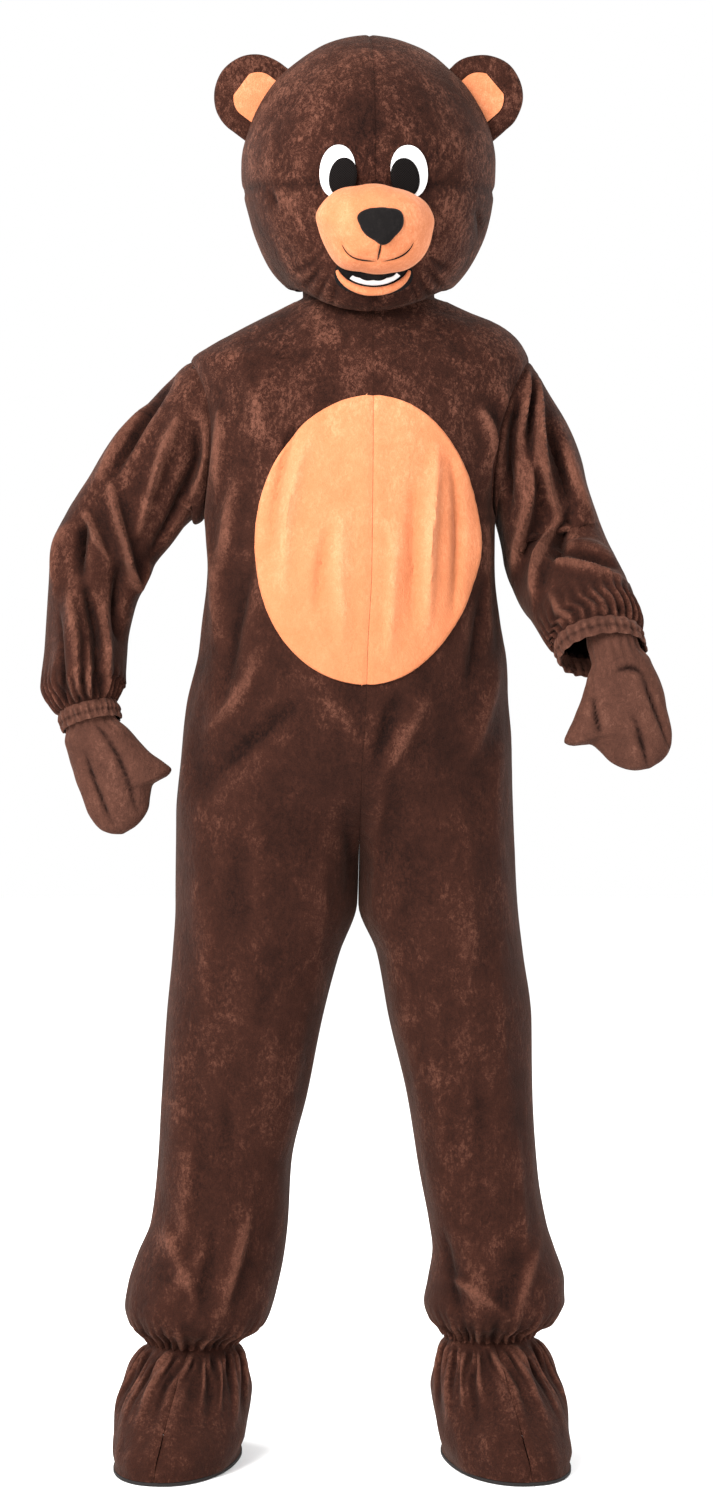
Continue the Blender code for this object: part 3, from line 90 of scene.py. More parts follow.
SEAM = SEAM_GAP / 2
NUDGE = 1e-4  # step for slopes
SIDES = ("left", "right")
HAND = {"left": -1, "right": 1}  # the way each side lies along x


class Sections:
    """Sections of a form, one row each, joined by a smooth curve that never overshoots."""

    def __init__(self, columns, rows):
        assert all(len(row) == len(columns) for row in rows)
        data = np.array(sorted(rows), float)
        self.key, self.value = data[:, 0], data[:, 1:]
        self.low, self.high = self.key[0], self.key[-1]
        step = np.diff(self.key)[:, None]
        slope = np.diff(self.value, axis=0) / step
        self.tangent = np.vstack([slope[:1], np.zeros_like(slope[1:]), slope[-1:]])
        before, after = slope[:-1], slope[1:]
        same = before * after > 0
        total = np.where(same, before + after, 1.0)
        self.tangent[1:-1] = np.where(same, 2 * before * after / total, 0.0)

    def at(self, key):
        """The columns at a key, as a list of arrays of the key's shape."""
        key = np.clip(np.asarray(key, float), self.low, self.high)
        i = np.clip(np.searchsorted(self.key, key, side="right") - 1, 0, len(self.key) - 2)
        step = self.key[i + 1] - self.key[i]
        t = ((key - self.key[i]) / step)[..., None]
        step = step[..., None]
        start, end = self.value[i], self.value[i + 1]
        value = (
            start * (1 + 2 * t) * (1 - t) ** 2
            + end * t * t * (3 - 2 * t)
            + self.tangent[i] * step * t * (1 - t) ** 2
            - self.tangent[i + 1] * step * t * t * (1 - t)
        )
        return [value[..., k] for k in range(value.shape[-1])]


def smooth(t):
    """0 below 0, 1 above 1, and an even S curve between."""
    t = np.clip(t, 0.0, 1.0)
    return t * t * (3 - 2 * t)


def power(value, exponent):
    """A power that keeps the sign of its base."""
    return np.sign(value) * np.abs(value) ** exponent


def place(x, y, height):
    """A point of the part's frame from x, y and a height above the floor."""
    x, y, height = np.broadcast_arrays(x, y, height)
    return np.stack([x, y, height - NECK_HEIGHT], axis=-1)


def unit(vector):
    return vector / np.maximum(np.linalg.norm(vector, axis=-1, keepdims=True), 1e-12)


def ring(left, right, front, back, angle, fullness):
    """A level closed curve through four sides. Angle 0 is its front and 90 degrees its right."""
    across, ahead = power(np.sin(angle), 2 / fullness), power(np.cos(angle), 2 / fullness)
    x = (left + right) / 2 + (right - left) / 2 * across
    y = (front + back) / 2 + (front - back) / 2 * ahead
    return x, y


def fold_depth(folds, share, height, panel_width):
    """How far the folds of a panel lift it at a place."""
    lift = np.zeros(np.broadcast(share, height).shape)
    for start_share, start_height, end_share, end_height, width, depth in folds:
        start = np.array([start_share * panel_width, start_height])
        run = np.array([end_share * panel_width, end_height]) - start
        x, z = share * panel_width - start[0], height - start[1]
        along = np.clip((x * run[0] + z * run[1]) / (run @ run), 0, 1)
        away = np.hypot(x - along * run[0], z - along * run[1])
        lift = lift + depth * np.exp(-((away / width) ** 2)) * np.sin(np.pi * (0.1 + 0.8 * along))
    return lift


# Jumpsuit body: a front and a back for each side, each cut in one with its leg

BODY_FULLNESS = 2.2
TORSO = Sections(
    ("height", "left", "right", "front", "back", "seam"),
    (
        (1.500, -0.094, 0.107, -0.066, 0.078, 0.009),
        (1.485, -0.125, 0.137, -0.077, 0.087, 0.009),
        (1.465, -0.164, 0.181, -0.091, 0.097, 0.009),
        (1.443, -0.202, 0.203, -0.106, 0.105, 0.009),
        (1.424, -0.226, 0.211, -0.117, 0.110, 0.009),
        (1.330, -0.219, 0.192, -0.138, 0.119, 0.009),
        (1.220, -0.208, 0.165, -0.149, 0.120, 0.008),
        (1.150, -0.202, 0.166, -0.156, 0.117, 0.007),
        (1.053, -0.212, 0.174, -0.160, 0.118, 0.002),
        (0.979, -0.231, 0.182, -0.153, 0.128, 0.000),
        (0.903, -0.241, 0.189, -0.142, 0.138, -0.005),
        (0.836, -0.247, 0.192, -0.133, 0.142, -0.007),
        (0.773, -0.247, 0.195, -0.127, 0.140, -0.009),
        (0.700, -0.248, 0.197, -0.122, 0.134, -0.010),
    ),
)
LEG_COLUMNS = ("height", "left", "right", "front", "back")
LEGS = {
    "left": Sections(
        LEG_COLUMNS,
        (
            (0.903, -0.241, -0.0050, -0.142, 0.138),
            (0.836, -0.247, -0.0070, -0.133, 0.142),
            (0.773, -0.248, -0.0090, -0.127, 0.140),
            (0.721, -0.248, -0.0110, -0.122, 0.134),
            (0.656, -0.252, -0.0338, -0.113, 0.121),
            (0.572, -0.260, -0.0560, -0.104, 0.108),
            (0.473, -0.266, -0.0758, -0.096, 0.098),
            (0.380, -0.272, -0.0970, -0.090, 0.093),
            (0.304, -0.281, -0.1014, -0.088, 0.092),
            (0.260, -0.299, -0.1066, -0.092, 0.095),
            (0.222, -0.311, -0.1144, -0.097, 0.099),
            (0.194, -0.315, -0.1222, -0.098, 0.099),
            (0.170, -0.307, -0.1352, -0.088, 0.090),
            (0.155, -0.289, -0.1600, -0.066, 0.070),
            (0.146, -0.284, -0.1670, -0.058, 0.060),
        ),
    ),
    "right": Sections(
        LEG_COLUMNS,
        (
            (0.903, -0.0050, 0.189, -0.142, 0.138),
            (0.836, -0.0075, 0.192, -0.133, 0.142),
            (0.773, -0.0090, 0.195, -0.127, 0.140),
            (0.721, -0.0098, 0.198, -0.122, 0.134),
            (0.656, 0.0143, 0.205, -0.113, 0.121),
            (0.572, 0.0299, 0.216, -0.104, 0.108),
            (0.473, 0.0533, 0.218, -0.096, 0.098),
            (0.369, 0.0702, 0.225, -0.090, 0.093),
            (0.300, 0.0832, 0.237, -0.088, 0.092),
            (0.269, 0.0871, 0.247, -0.092, 0.095),
            (0.225, 0.0806, 0.260, -0.097, 0.099),
            (0.200, 0.0767, 0.260, -0.098, 0.099),
            (0.178, 0.0850, 0.248, -0.088, 0.090),
            (0.164, 0.0990, 0.224, -0.066, 0.070),
            (0.155, 0.1030, 0.220, -0.058, 0.060),
        ),
    ),
}
FORK_HEIGHT = 0.905  # the centre seams start to run in towards the crotch
CROTCH_HEIGHT = 0.721
PANEL_WIDTH = 0.27  # the usual width of a panel, for placing its folds
HEM_GATHERS = 7  # in each panel, where the elastic draws the leg in
HEM_GATHER_DEPTH = 0.0035
HEM_GATHER_REACH = 0.075

# Folds: a soft ridge (or, with a negative depth, a trough) between two points of a panel.
# Columns: start share of the panel's width, start height, end share, end height, width, depth.
FOLDS = {
    ("left", "front"): (
        (0.95, 1.235, 0.55, 1.330, 0.020, 0.007),
        (0.84, 1.210, 0.66, 1.060, 0.018, 0.009),
        (0.98, 1.130, 0.95, 0.930, 0.022, 0.008),
        (0.80, 0.990, 0.90, 0.830, 0.020, 0.005),
        (0.30, 0.930, 0.62, 0.820, 0.024, 0.005),
        (0.30, 0.640, 0.24, 0.380, 0.020, 0.006),
        (0.78, 0.560, 0.72, 0.300, 0.024, 0.005),
        (0.50, 0.300, 0.66, 0.190, 0.014, 0.007),
        (0.34, 0.290, 0.36, 0.190, 0.013, -0.006),
    ),
    ("right", "front"): (
        (0.98, 1.250, 0.62, 1.370, 0.020, 0.008),
        (0.86, 1.300, 0.70, 1.150, 0.016, -0.006),
        (0.80, 1.200, 0.92, 1.020, 0.020, 0.008),
        (0.96, 1.060, 0.93, 0.900, 0.020, 0.005),
        (0.16, 0.880, 0.12, 0.660, 0.020, -0.006),
        (0.24, 0.700, 0.20, 0.420, 0.022, 0.006),
        (0.88, 0.600, 0.80, 0.330, 0.024, 0.005),
        (0.36, 0.300, 0.44, 0.190, 0.014, 0.007),
        (0.60, 0.290, 0.52, 0.190, 0.013, -0.006),
    ),
    ("left", "back"): (
        (0.90, 1.240, 0.50, 1.340, 0.022, 0.007),
        (0.60, 1.160, 0.50, 0.990, 0.022, 0.006),
        (0.20, 0.860, 0.62, 0.760, 0.022, 0.007),
        (0.34, 0.640, 0.30, 0.380, 0.022, 0.006),
        (0.74, 0.520, 0.70, 0.280, 0.022, -0.005),
        (0.48, 0.300, 0.54, 0.190, 0.014, 0.006),
    ),
    ("right", "back"): (
        (0.90, 1.250, 0.52, 1.350, 0.022, 0.007),
        (0.64, 1.150, 0.56, 0.980, 0.022, 0.006),
        (0.18, 0.850, 0.60, 0.770, 0.022, 0.006),
        (0.30, 0.620, 0.34, 0.400, 0.022, 0.006),
        (0.70, 0.540, 0.74, 0.290, 0.022, -0.005),
        (0.52, 0.300, 0.46, 0.190, 0.014, 0.006),
    ),
}


def seam_angle(height):
    """How far the centre seams lie round the torso's ring from its middle."""
    left, right, _, _, seam = TORSO.at(height)
    off = (seam - (left + right) / 2) / ((right - left) / 2)
    return np.arcsin(power(off, BODY_FULLNESS / 2))


def body_base(side, face, share, height):
    """The body before its folds. Share runs from the centre seam or inseam to the side seam."""
    hand = HAND[side]
    start = seam_angle(height)
    if face == "front":
        torso_angle = start + (hand * math.pi / 2 - start) * share
        leg_angle = hand * (share - 0.5) * math.pi
    else:
        torso_angle = math.pi - start + (start - hand * math.pi / 2) * share
        leg_angle = math.pi - hand * (share - 0.5) * math.pi
    left, right, front, back, _ = TORSO.at(height)
    torso = place(*ring(left, right, front, back, torso_angle, BODY_FULLNESS), height)
    left, right, front, back = LEGS[side].at(height)
    leg = place(*ring(left, right, front, back, leg_angle, BODY_FULLNESS), height)
    mix = smooth((FORK_HEIGHT - height) / (FORK_HEIGHT - CROTCH_HEIGHT))[..., None]
    point = torso * (1 - mix) + leg * mix
    middle = (LEGS["left"].at(height)[1] + LEGS["right"].at(height)[0]) / 2
    held = np.where(hand * (point[..., 0] - middle) > SEAM, point[..., 0], middle + hand * SEAM)
    point[..., 0] = np.where(np.asarray(height) < FORK_HEIGHT - 0.001, held, point[..., 0])
    return point


def gather_lift(side, share, height):
    """Ruffle waves that the elastic in the hem draws, fading up the leg."""
    above = (height - LEGS[side].low) / HEM_GATHER_REACH
    fade = np.exp(-((above / 0.45) ** 2)) * smooth(above / 0.10)
    return HEM_GATHER_DEPTH * fade * np.cos(2 * math.pi * HEM_GATHERS * share)


# The belly's oval, over the centre front seam

BELLY_MIDDLE = 1.1906
BELLY_RISE = 0.182
BELLY_HALF_WIDTH = {"left": 0.148, "right": 0.134}

# Armholes: an oval round which each sleeve is set

ARMHOLE_MIDDLE = 1.322
ARMHOLE_RISE = 0.102
ARMHOLE_REACH = {"front": 0.066, "back": 0.062}
ARMHOLE_Y = -0.004


def armhole_y(height):
    """The y of the armhole's front and back edges at a height."""
    off = np.clip((height - ARMHOLE_MIDDLE) / ARMHOLE_RISE, -1, 1)
    open_share = np.sqrt(1 - off**2)
    return (
        ARMHOLE_Y - ARMHOLE_REACH["front"] * open_share,
        ARMHOLE_Y + ARMHOLE_REACH["back"] * open_share,
    )


def armhole_share(side, face, height):
    """The share of a panel's width at which the armhole cuts it, or 1 above and below it."""
    front_y, back_y = armhole_y(height)
    _, _, front, back, _ = TORSO.at(height)
    y = front_y if face == "front" else back_y
    off = (y - (front + back) / 2) / ((front - back) / 2)
    angle = np.arccos(np.clip(power(off, BODY_FULLNESS / 2), -1, 1))
    hand = HAND[side]
    start = seam_angle(height)
    if face == "front":
        share = (angle - hand * start) / (math.pi / 2 - hand * start)
    else:
        share = (math.pi - angle - hand * start) / (math.pi / 2 - hand * start)
    return np.where(np.abs(height - ARMHOLE_MIDDLE) >= ARMHOLE_RISE, 1.0, share)


# Sleeves: a tube set into each armhole and drawn in at the wrist

SLEEVE_COLUMNS = ("share", "x", "y", "height", "half_width", "half_depth")
SLEEVES = {
    "left": Sections(
        SLEEVE_COLUMNS,
        (
            (0.00, -0.2100, -0.004, 1.3220, 0.074, 0.064),
            (0.14, -0.2520, -0.001, 1.2920, 0.077, 0.066),
            (0.30, -0.2940, 0.006, 1.2400, 0.072, 0.066),
            (0.46, -0.3370, 0.010, 1.1830, 0.065, 0.064),
            (0.60, -0.3560, 0.000, 1.1140, 0.057, 0.060),
            (0.76, -0.3635, -0.016, 1.0480, 0.054, 0.058),
            (0.88, -0.3655, -0.028, 1.0080, 0.055, 0.056),
            (0.95, -0.3625, -0.034, 0.9900, 0.046, 0.048),
            (1.00, -0.3590, -0.038, 0.9760, 0.037, 0.0340),
        ),
    ),
    "right": Sections(
        SLEEVE_COLUMNS,
        (
            (0.00, 0.1860, -0.004, 1.3220, 0.072, 0.064),
            (0.16, 0.2080, -0.002, 1.2900, 0.070, 0.066),
            (0.32, 0.2260, 0.004, 1.2400, 0.067, 0.066),
            (0.48, 0.2425, 0.000, 1.1890, 0.068, 0.066),
            (0.62, 0.2575, -0.030, 1.1450, 0.069, 0.062),
            (0.76, 0.2715, -0.078, 1.1140, 0.066, 0.058),
            (0.88, 0.2835, -0.116, 1.0905, 0.062, 0.054),
            (0.95, 0.2900, -0.132, 1.0780, 0.058, 0.050),
            (1.00, 0.2920, -0.141, 1.0670, 0.054, 0.0440),
        ),
    ),
}
SLEEVE_START = 0.0006  # the sleeve stands this far out from the armhole's edge
# Columns: degrees round the sleeve, start share, end share, width in degrees, depth, twist in degrees.
SLEEVE_FOLDS = {
    "left": (
        (250, 0.04, 0.50, 26, -0.010, 40),
        (205, 0.10, 0.56, 26, 0.010, 30),
        (165, 0.06, 0.48, 24, -0.008, 60),
        (120, 0.10, 0.56, 24, 0.008, 20),
        (210, 0.46, 0.86, 24, -0.008, -30),
        (160, 0.56, 0.98, 20, 0.006, 0),
        (120, 0.60, 0.98, 20, -0.006, 0),
        (330, 0.30, 0.90, 26, 0.007, 20),
        (20, 0.20, 0.80, 26, -0.006, -20),
    ),
    "right": (
        (130, 0.04, 0.60, 24, 0.010, 20),
        (170, 0.03, 0.66, 24, -0.009, 10),
        (205, 0.05, 0.62, 24, 0.009, 14),
        (245, 0.05, 0.50, 24, -0.008, 20),
        (165, 0.60, 0.80, 26, 0.007, -60),
        (330, 0.20, 0.86, 26, 0.007, 10),
        (20, 0.16, 0.80, 26, -0.006, -10),
    ),
}


def sleeve_spine(side, share):
    """The middle of the sleeve at a share of its length, and its half width and half depth."""
    x, y, height, half_width, half_depth = SLEEVES[side].at(share)
    return place(x, y, height), half_width, half_depth


def sleeve_frame(side, share):
    """The sleeve's direction, its upper side and its back side."""
    step = 0.02
    after, _, _ = sleeve_spine(side, np.clip(share + step, 0, 1))
    before, _, _ = sleeve_spine(side, np.clip(share - step, 0, 1))
    along = unit(after - before)
    rear = np.broadcast_to([0.0, 1.0, 0.0], along.shape)
    upper = unit(np.cross(rear, along))
    upper = upper * np.sign(HAND[side] * upper[..., 0:1] + 1e-9)
    back = unit(np.cross(along, upper))
    back = back * np.sign(back[..., 1:2] + 1e-9)
    return along, upper, back


def armhole_point(side, turn):
    """A point of the armhole's edge. Turn 90 degrees is the shoulder point and 180 the front."""
    height = ARMHOLE_MIDDLE + ARMHOLE_RISE * np.sin(turn)
    open_share = np.cos(turn)
    reach = np.where(open_share > 0, ARMHOLE_REACH["back"], ARMHOLE_REACH["front"])
    y = ARMHOLE_Y + reach * open_share
    left, right, front, back, _ = TORSO.at(height)
    off = np.clip((y - (front + back) / 2) / ((back - front) / 2), -1, 1)
    across = (1 - np.abs(off) ** BODY_FULLNESS) ** (1 / BODY_FULLNESS)
    hand = HAND[side]
    return place((left + right) / 2 + hand * (right - left) / 2 * across, y, height)


def sleeve_lift(side, turn, share):
    lift = np.zeros(np.broadcast(turn, share).shape)
    degrees = np.degrees(turn)
    for angle, start, end, width, depth, twist in SLEEVE_FOLDS[side]:
        along = (share - start) / (end - start)
        fade = np.where((along > 0) & (along < 1), np.sin(np.pi * np.clip(along, 0, 1)) ** 1.2, 0)
        away = (degrees - angle - twist * along + 180) % 360 - 180
        lift = lift + depth * fade * np.exp(-((away / width) ** 2))
    return lift


def sleeve(side):
    """The sleeve's surface: u round it, from its back over the shoulder, and v along it."""

    def surface(u, v):
        turn = 2 * math.pi * u
        middle, half_width, half_depth = sleeve_spine(side, v)
        _, upper, back = sleeve_frame(side, v)
        lift = sleeve_lift(side, turn, v)
        wide = (half_width + lift) * np.sin(turn)
        deep = (half_depth + lift) * np.cos(turn)
        tube = middle + upper * wide[..., None] + back * deep[..., None]
        edge = armhole_point(side, turn) + np.array([HAND[side] * SLEEVE_START, 0.0, 0.0])
        middle_start, _, _ = sleeve_spine(side, np.zeros_like(v))
        set_in = edge + (middle - middle_start)
        mix = smooth(v / 0.24)[..., None]
        return set_in * (1 - mix) + tube * mix

    return surface


# Mittens: a back and a palm each, sewn round the edge, with the wrist inside the sleeve's cuff

MITTEN_COLUMNS = ("along", "outer", "thumb", "half_thick")
MITTEN = Sections(
    MITTEN_COLUMNS,
    (
        (-0.034, -0.0270, 0.0270, 0.0235),
        (-0.012, -0.0320, 0.0320, 0.0275),
        (0.009, -0.0328, 0.0328, 0.0280),
        (0.028, -0.0400, 0.0450, 0.0300),
        (0.050, -0.0400, 0.0560, 0.0290),
        (0.067, -0.0390, 0.0660, 0.0285),
        (0.084, -0.0380, 0.0800, 0.0275),
        (0.094, -0.0370, 0.0860, 0.0265),
        (0.101, -0.0365, 0.0800, 0.0260),
        (0.107, -0.0360, 0.0580, 0.0255),
        (0.118, -0.0350, 0.0520, 0.0240),
        (0.134, -0.0310, 0.0450, 0.0210),
        (0.146, -0.0240, 0.0340, 0.0170),
        (0.154, -0.0140, 0.0220, 0.0115),
        (0.1585, -0.0020, 0.0070, 0.0040),
    ),
)
WRISTS = {  # wrist point, then the direction of the hand, in the part's frame
    "left": (place(-0.3567, -0.0389, 0.9663), (0.257, -0.060, -0.965)),
    "right": (place(0.3116, -0.1452, 1.0542), (0.300, -0.130, -0.944)),
}


def hand_frame(side):
    """The wrist, the hand's direction, the side of its thumb and the side of its back."""
    wrist, along = WRISTS[side]
    along = unit(np.array(along))
    thumb = unit(np.cross([0.0, 1.0, 0.0], along))
    thumb = thumb * (1 if (thumb[0] > 0) == (side == "left") else -1)
    front = unit(np.cross(along, thumb))
    return wrist, along, thumb, front * (-1 if front[1] > 0 else 1)


# Cuffs: the sleeve's elastic casing, ruffled round the wrist

CUFF_WAVES = 18
CUFF_WAVE_DEPTH = 0.0018
CUFF_HEIGHT = 0.022


def cuff(side):
    """u round the casing, v down it in metres. Its inside clears the mitten's wrist."""
    end, half_width, half_depth = sleeve_spine(side, np.array(1.0))
    along, upper, back = sleeve_frame(side, np.array(1.0))
    hand_along = hand_frame(side)[1]

    def surface(u, v):
        turn = 2 * math.pi * u
        puff = 0.0024 * np.sin(math.pi * np.clip(v / CUFF_HEIGHT, 0, 1))
        lift = puff + CUFF_WAVE_DEPTH * (0.5 + 0.5 * np.cos(CUFF_WAVES * turn))
        wide, deep = half_width + lift, half_depth + lift
        share = smooth(v / CUFF_HEIGHT)[..., None]
        direction = unit(along * (1 - share) + hand_along * share)
        middle = end + direction * (v[..., None] + SEAM_GAP)
        return (
            middle
            + upper * (wide * np.sin(turn))[..., None]
            + back * (deep * np.cos(turn))[..., None]
        )

    return surface


# Neckband: stands up inside the head's opening

NECKBAND = Sections(
    ("rise", "left", "right", "front", "back"),
    (
        (0.000, -0.0930, 0.1060, -0.0650, 0.0770),
        (0.007, -0.0815, 0.0888, -0.0600, 0.0700),
        (0.022, -0.0825, 0.0900, -0.0580, 0.0712),
    ),
)


def neckband(u, v):
    """u round the band and v up it."""
    left, right, front, back = NECKBAND.at(v)
    return place(*ring(left, right, front, back, 2 * math.pi * u, 2.02), 1.500 + SEAM + v)


# Shoe covers: two sides and a sole each, gathered at the ankle

COVER_COLUMNS = ("height", "outer", "inner", "front", "back")
COVERS = {
    "left": Sections(
        COVER_COLUMNS,
        (
            (0.165, -0.0520, 0.0520, -0.0525, 0.0525),
            (0.150, -0.0551, 0.0551, -0.0556, 0.0556),
            (0.1445, -0.0563, 0.0563, -0.0568, 0.0568),
            (0.135, -0.0650, 0.0620, -0.0720, 0.0650),
            (0.110, -0.0790, 0.0700, -0.1050, 0.0780),
            (0.080, -0.0900, 0.0760, -0.1400, 0.0860),
            (0.050, -0.0940, 0.0770, -0.1700, 0.0900),
            (0.024, -0.0920, 0.0740, -0.1900, 0.0900),
            (0.005, -0.0860, 0.0690, -0.1940, 0.0880),
        ),
    ),
}
COVERS["right"] = COVERS["left"]
ANKLES = {"left": (-0.2256, 0.001, -10.0, 0.0), "right": (0.1615, 0.001, 12.0, 0.009)}
COVER_PLEATS = 8  # in each side piece
COVER_PLEAT_DEPTH = 0.0045
COVER_FULLNESS = 2.2


def cover_ring(side, angle, height, lift=0.0):
    """The shoe cover at an angle round it, 0 in front and 90 degrees on its outer side."""
    x, y, toe_out, rise = ANKLES[side]
    top = COVERS[side].high
    share = np.clip((height - 0.005) / (top - 0.005), 0, 1)
    outer, inner, front, back = COVERS[side].at(height)
    across, ahead = ring(-inner, -outer, front, back, angle, COVER_FULLNESS)
    grow = 1 + lift / np.maximum(np.hypot(across, ahead), 0.02)
    across, ahead = across * grow, ahead * grow
    hand = HAND[side]
    turn = math.radians(toe_out) * (1 - 0.6 * share)
    px = x + hand * across * np.cos(turn) - ahead * np.sin(turn)
    py = y + hand * across * np.sin(turn) + ahead * np.cos(turn)
    return place(px, py, height + rise * share)


def pleat_lift(u, height):
    """The gathers below the elastic, deepest at the ankle and gone above the sole."""
    fade = smooth((0.1445 - height) / 0.014) * smooth((height - 0.045) / 0.075)
    return COVER_PLEAT_DEPTH * fade * np.cos(2 * math.pi * COVER_PLEATS * u)


# Head: six padded panels round a hollow, open at the neck

HEAD_X = 0.0040
HEAD_Y = -0.0120
HEAD_HEIGHT = 1.6770  # its widest level
HEAD_TURN = math.radians(3)  # to the viewer's right
HEAD_HALF_WIDTH = 0.1630
HEAD_FRONT = 0.1580
HEAD_BACK = 0.1600
HEAD_TOP = 0.1650
HEAD_FOOT = {"side": 0.2000, "front": 0.0430, "back": -0.0100}
HEAD_TOP_FULLNESS = 1.82
HEAD_FOOT_FULLNESS = 2.20
RIM_ANGLE = math.radians(145)
CHEEK_ANGLE = math.radians(99)


def head(angle, drop):
    """The head's outer form: angle 0 in front and 90 degrees on the viewer's right, drop from its top."""
    ahead, across = np.cos(angle), np.sin(angle)
    deep = np.where(ahead > 0, HEAD_FRONT, HEAD_BACK)
    lean = np.where(ahead > 0, HEAD_FOOT["front"], HEAD_FOOT["back"])
    foot = HEAD_FOOT["side"] + lean * ahead**2
    top = drop < math.pi / 2
    fullness = np.where(top, HEAD_TOP_FULLNESS, HEAD_FOOT_FULLNESS)
    wide = np.sin(drop) ** (2 / fullness)
    rise = power(np.cos(drop), 2 / fullness) * np.where(top, HEAD_TOP, foot)
    x, y = HEAD_HALF_WIDTH * across * wide, -deep * ahead * wide
    turned_x = HEAD_X + x * math.cos(HEAD_TURN) - y * math.sin(HEAD_TURN)
    turned_y = HEAD_Y + x * math.sin(HEAD_TURN) + y * math.cos(HEAD_TURN)
    return place(turned_x, turned_y, HEAD_HEIGHT + rise)


def head_measure(point):
    """Below 0 inside the head's outer form and above 0 outside it."""
    x, y = point[..., 0] - HEAD_X, point[..., 1] - HEAD_Y
    height = point[..., 2] + NECK_HEIGHT - HEAD_HEIGHT
    across = x * math.cos(HEAD_TURN) + y * math.sin(HEAD_TURN)
    ahead = x * math.sin(HEAD_TURN) - y * math.cos(HEAD_TURN)
    deep = np.where(ahead > 0, HEAD_FRONT, HEAD_BACK)
    wide = np.hypot(across / HEAD_HALF_WIDTH, ahead / deep)
    share = (ahead / deep) ** 2 / np.maximum(wide**2, 1e-9)
    lean = np.where(ahead > 0, HEAD_FOOT["front"], HEAD_FOOT["back"])
    tall = np.where(height > 0, HEAD_TOP, HEAD_FOOT["side"] + lean * share)
    fullness = np.where(height > 0, HEAD_TOP_FULLNESS, HEAD_FOOT_FULLNESS)
    return wide**fullness + np.abs(height / tall) ** fullness - 1


def meet_head(start, direction, reach):
    """Where lines from outside reach the head's form, by halving."""
    near, far = np.zeros(start.shape[:-1]), np.full(start.shape[:-1], reach)
    for _ in range(30):
        half = (near + far) / 2
        outside = head_measure(start + direction * half[..., None]) > 0
        near, far = np.where(outside, half, near), np.where(outside, far, half)
    return start + direction * near[..., None]


def on_face(x, height):
    """The point of the face at x and a height, and the way out of it."""
    x, height = np.broadcast_arrays(x, height)
    start = place(x, np.full(x.shape, -0.40), height)
    point = meet_head(start, np.array([0.0, 1.0, 0.0]), 0.40)
    slope = []
    for step in np.eye(3) * NUDGE:
        slope.append(head_measure(point + step) - head_measure(point - step))
    return point, unit(np.stack(slope, axis=-1))


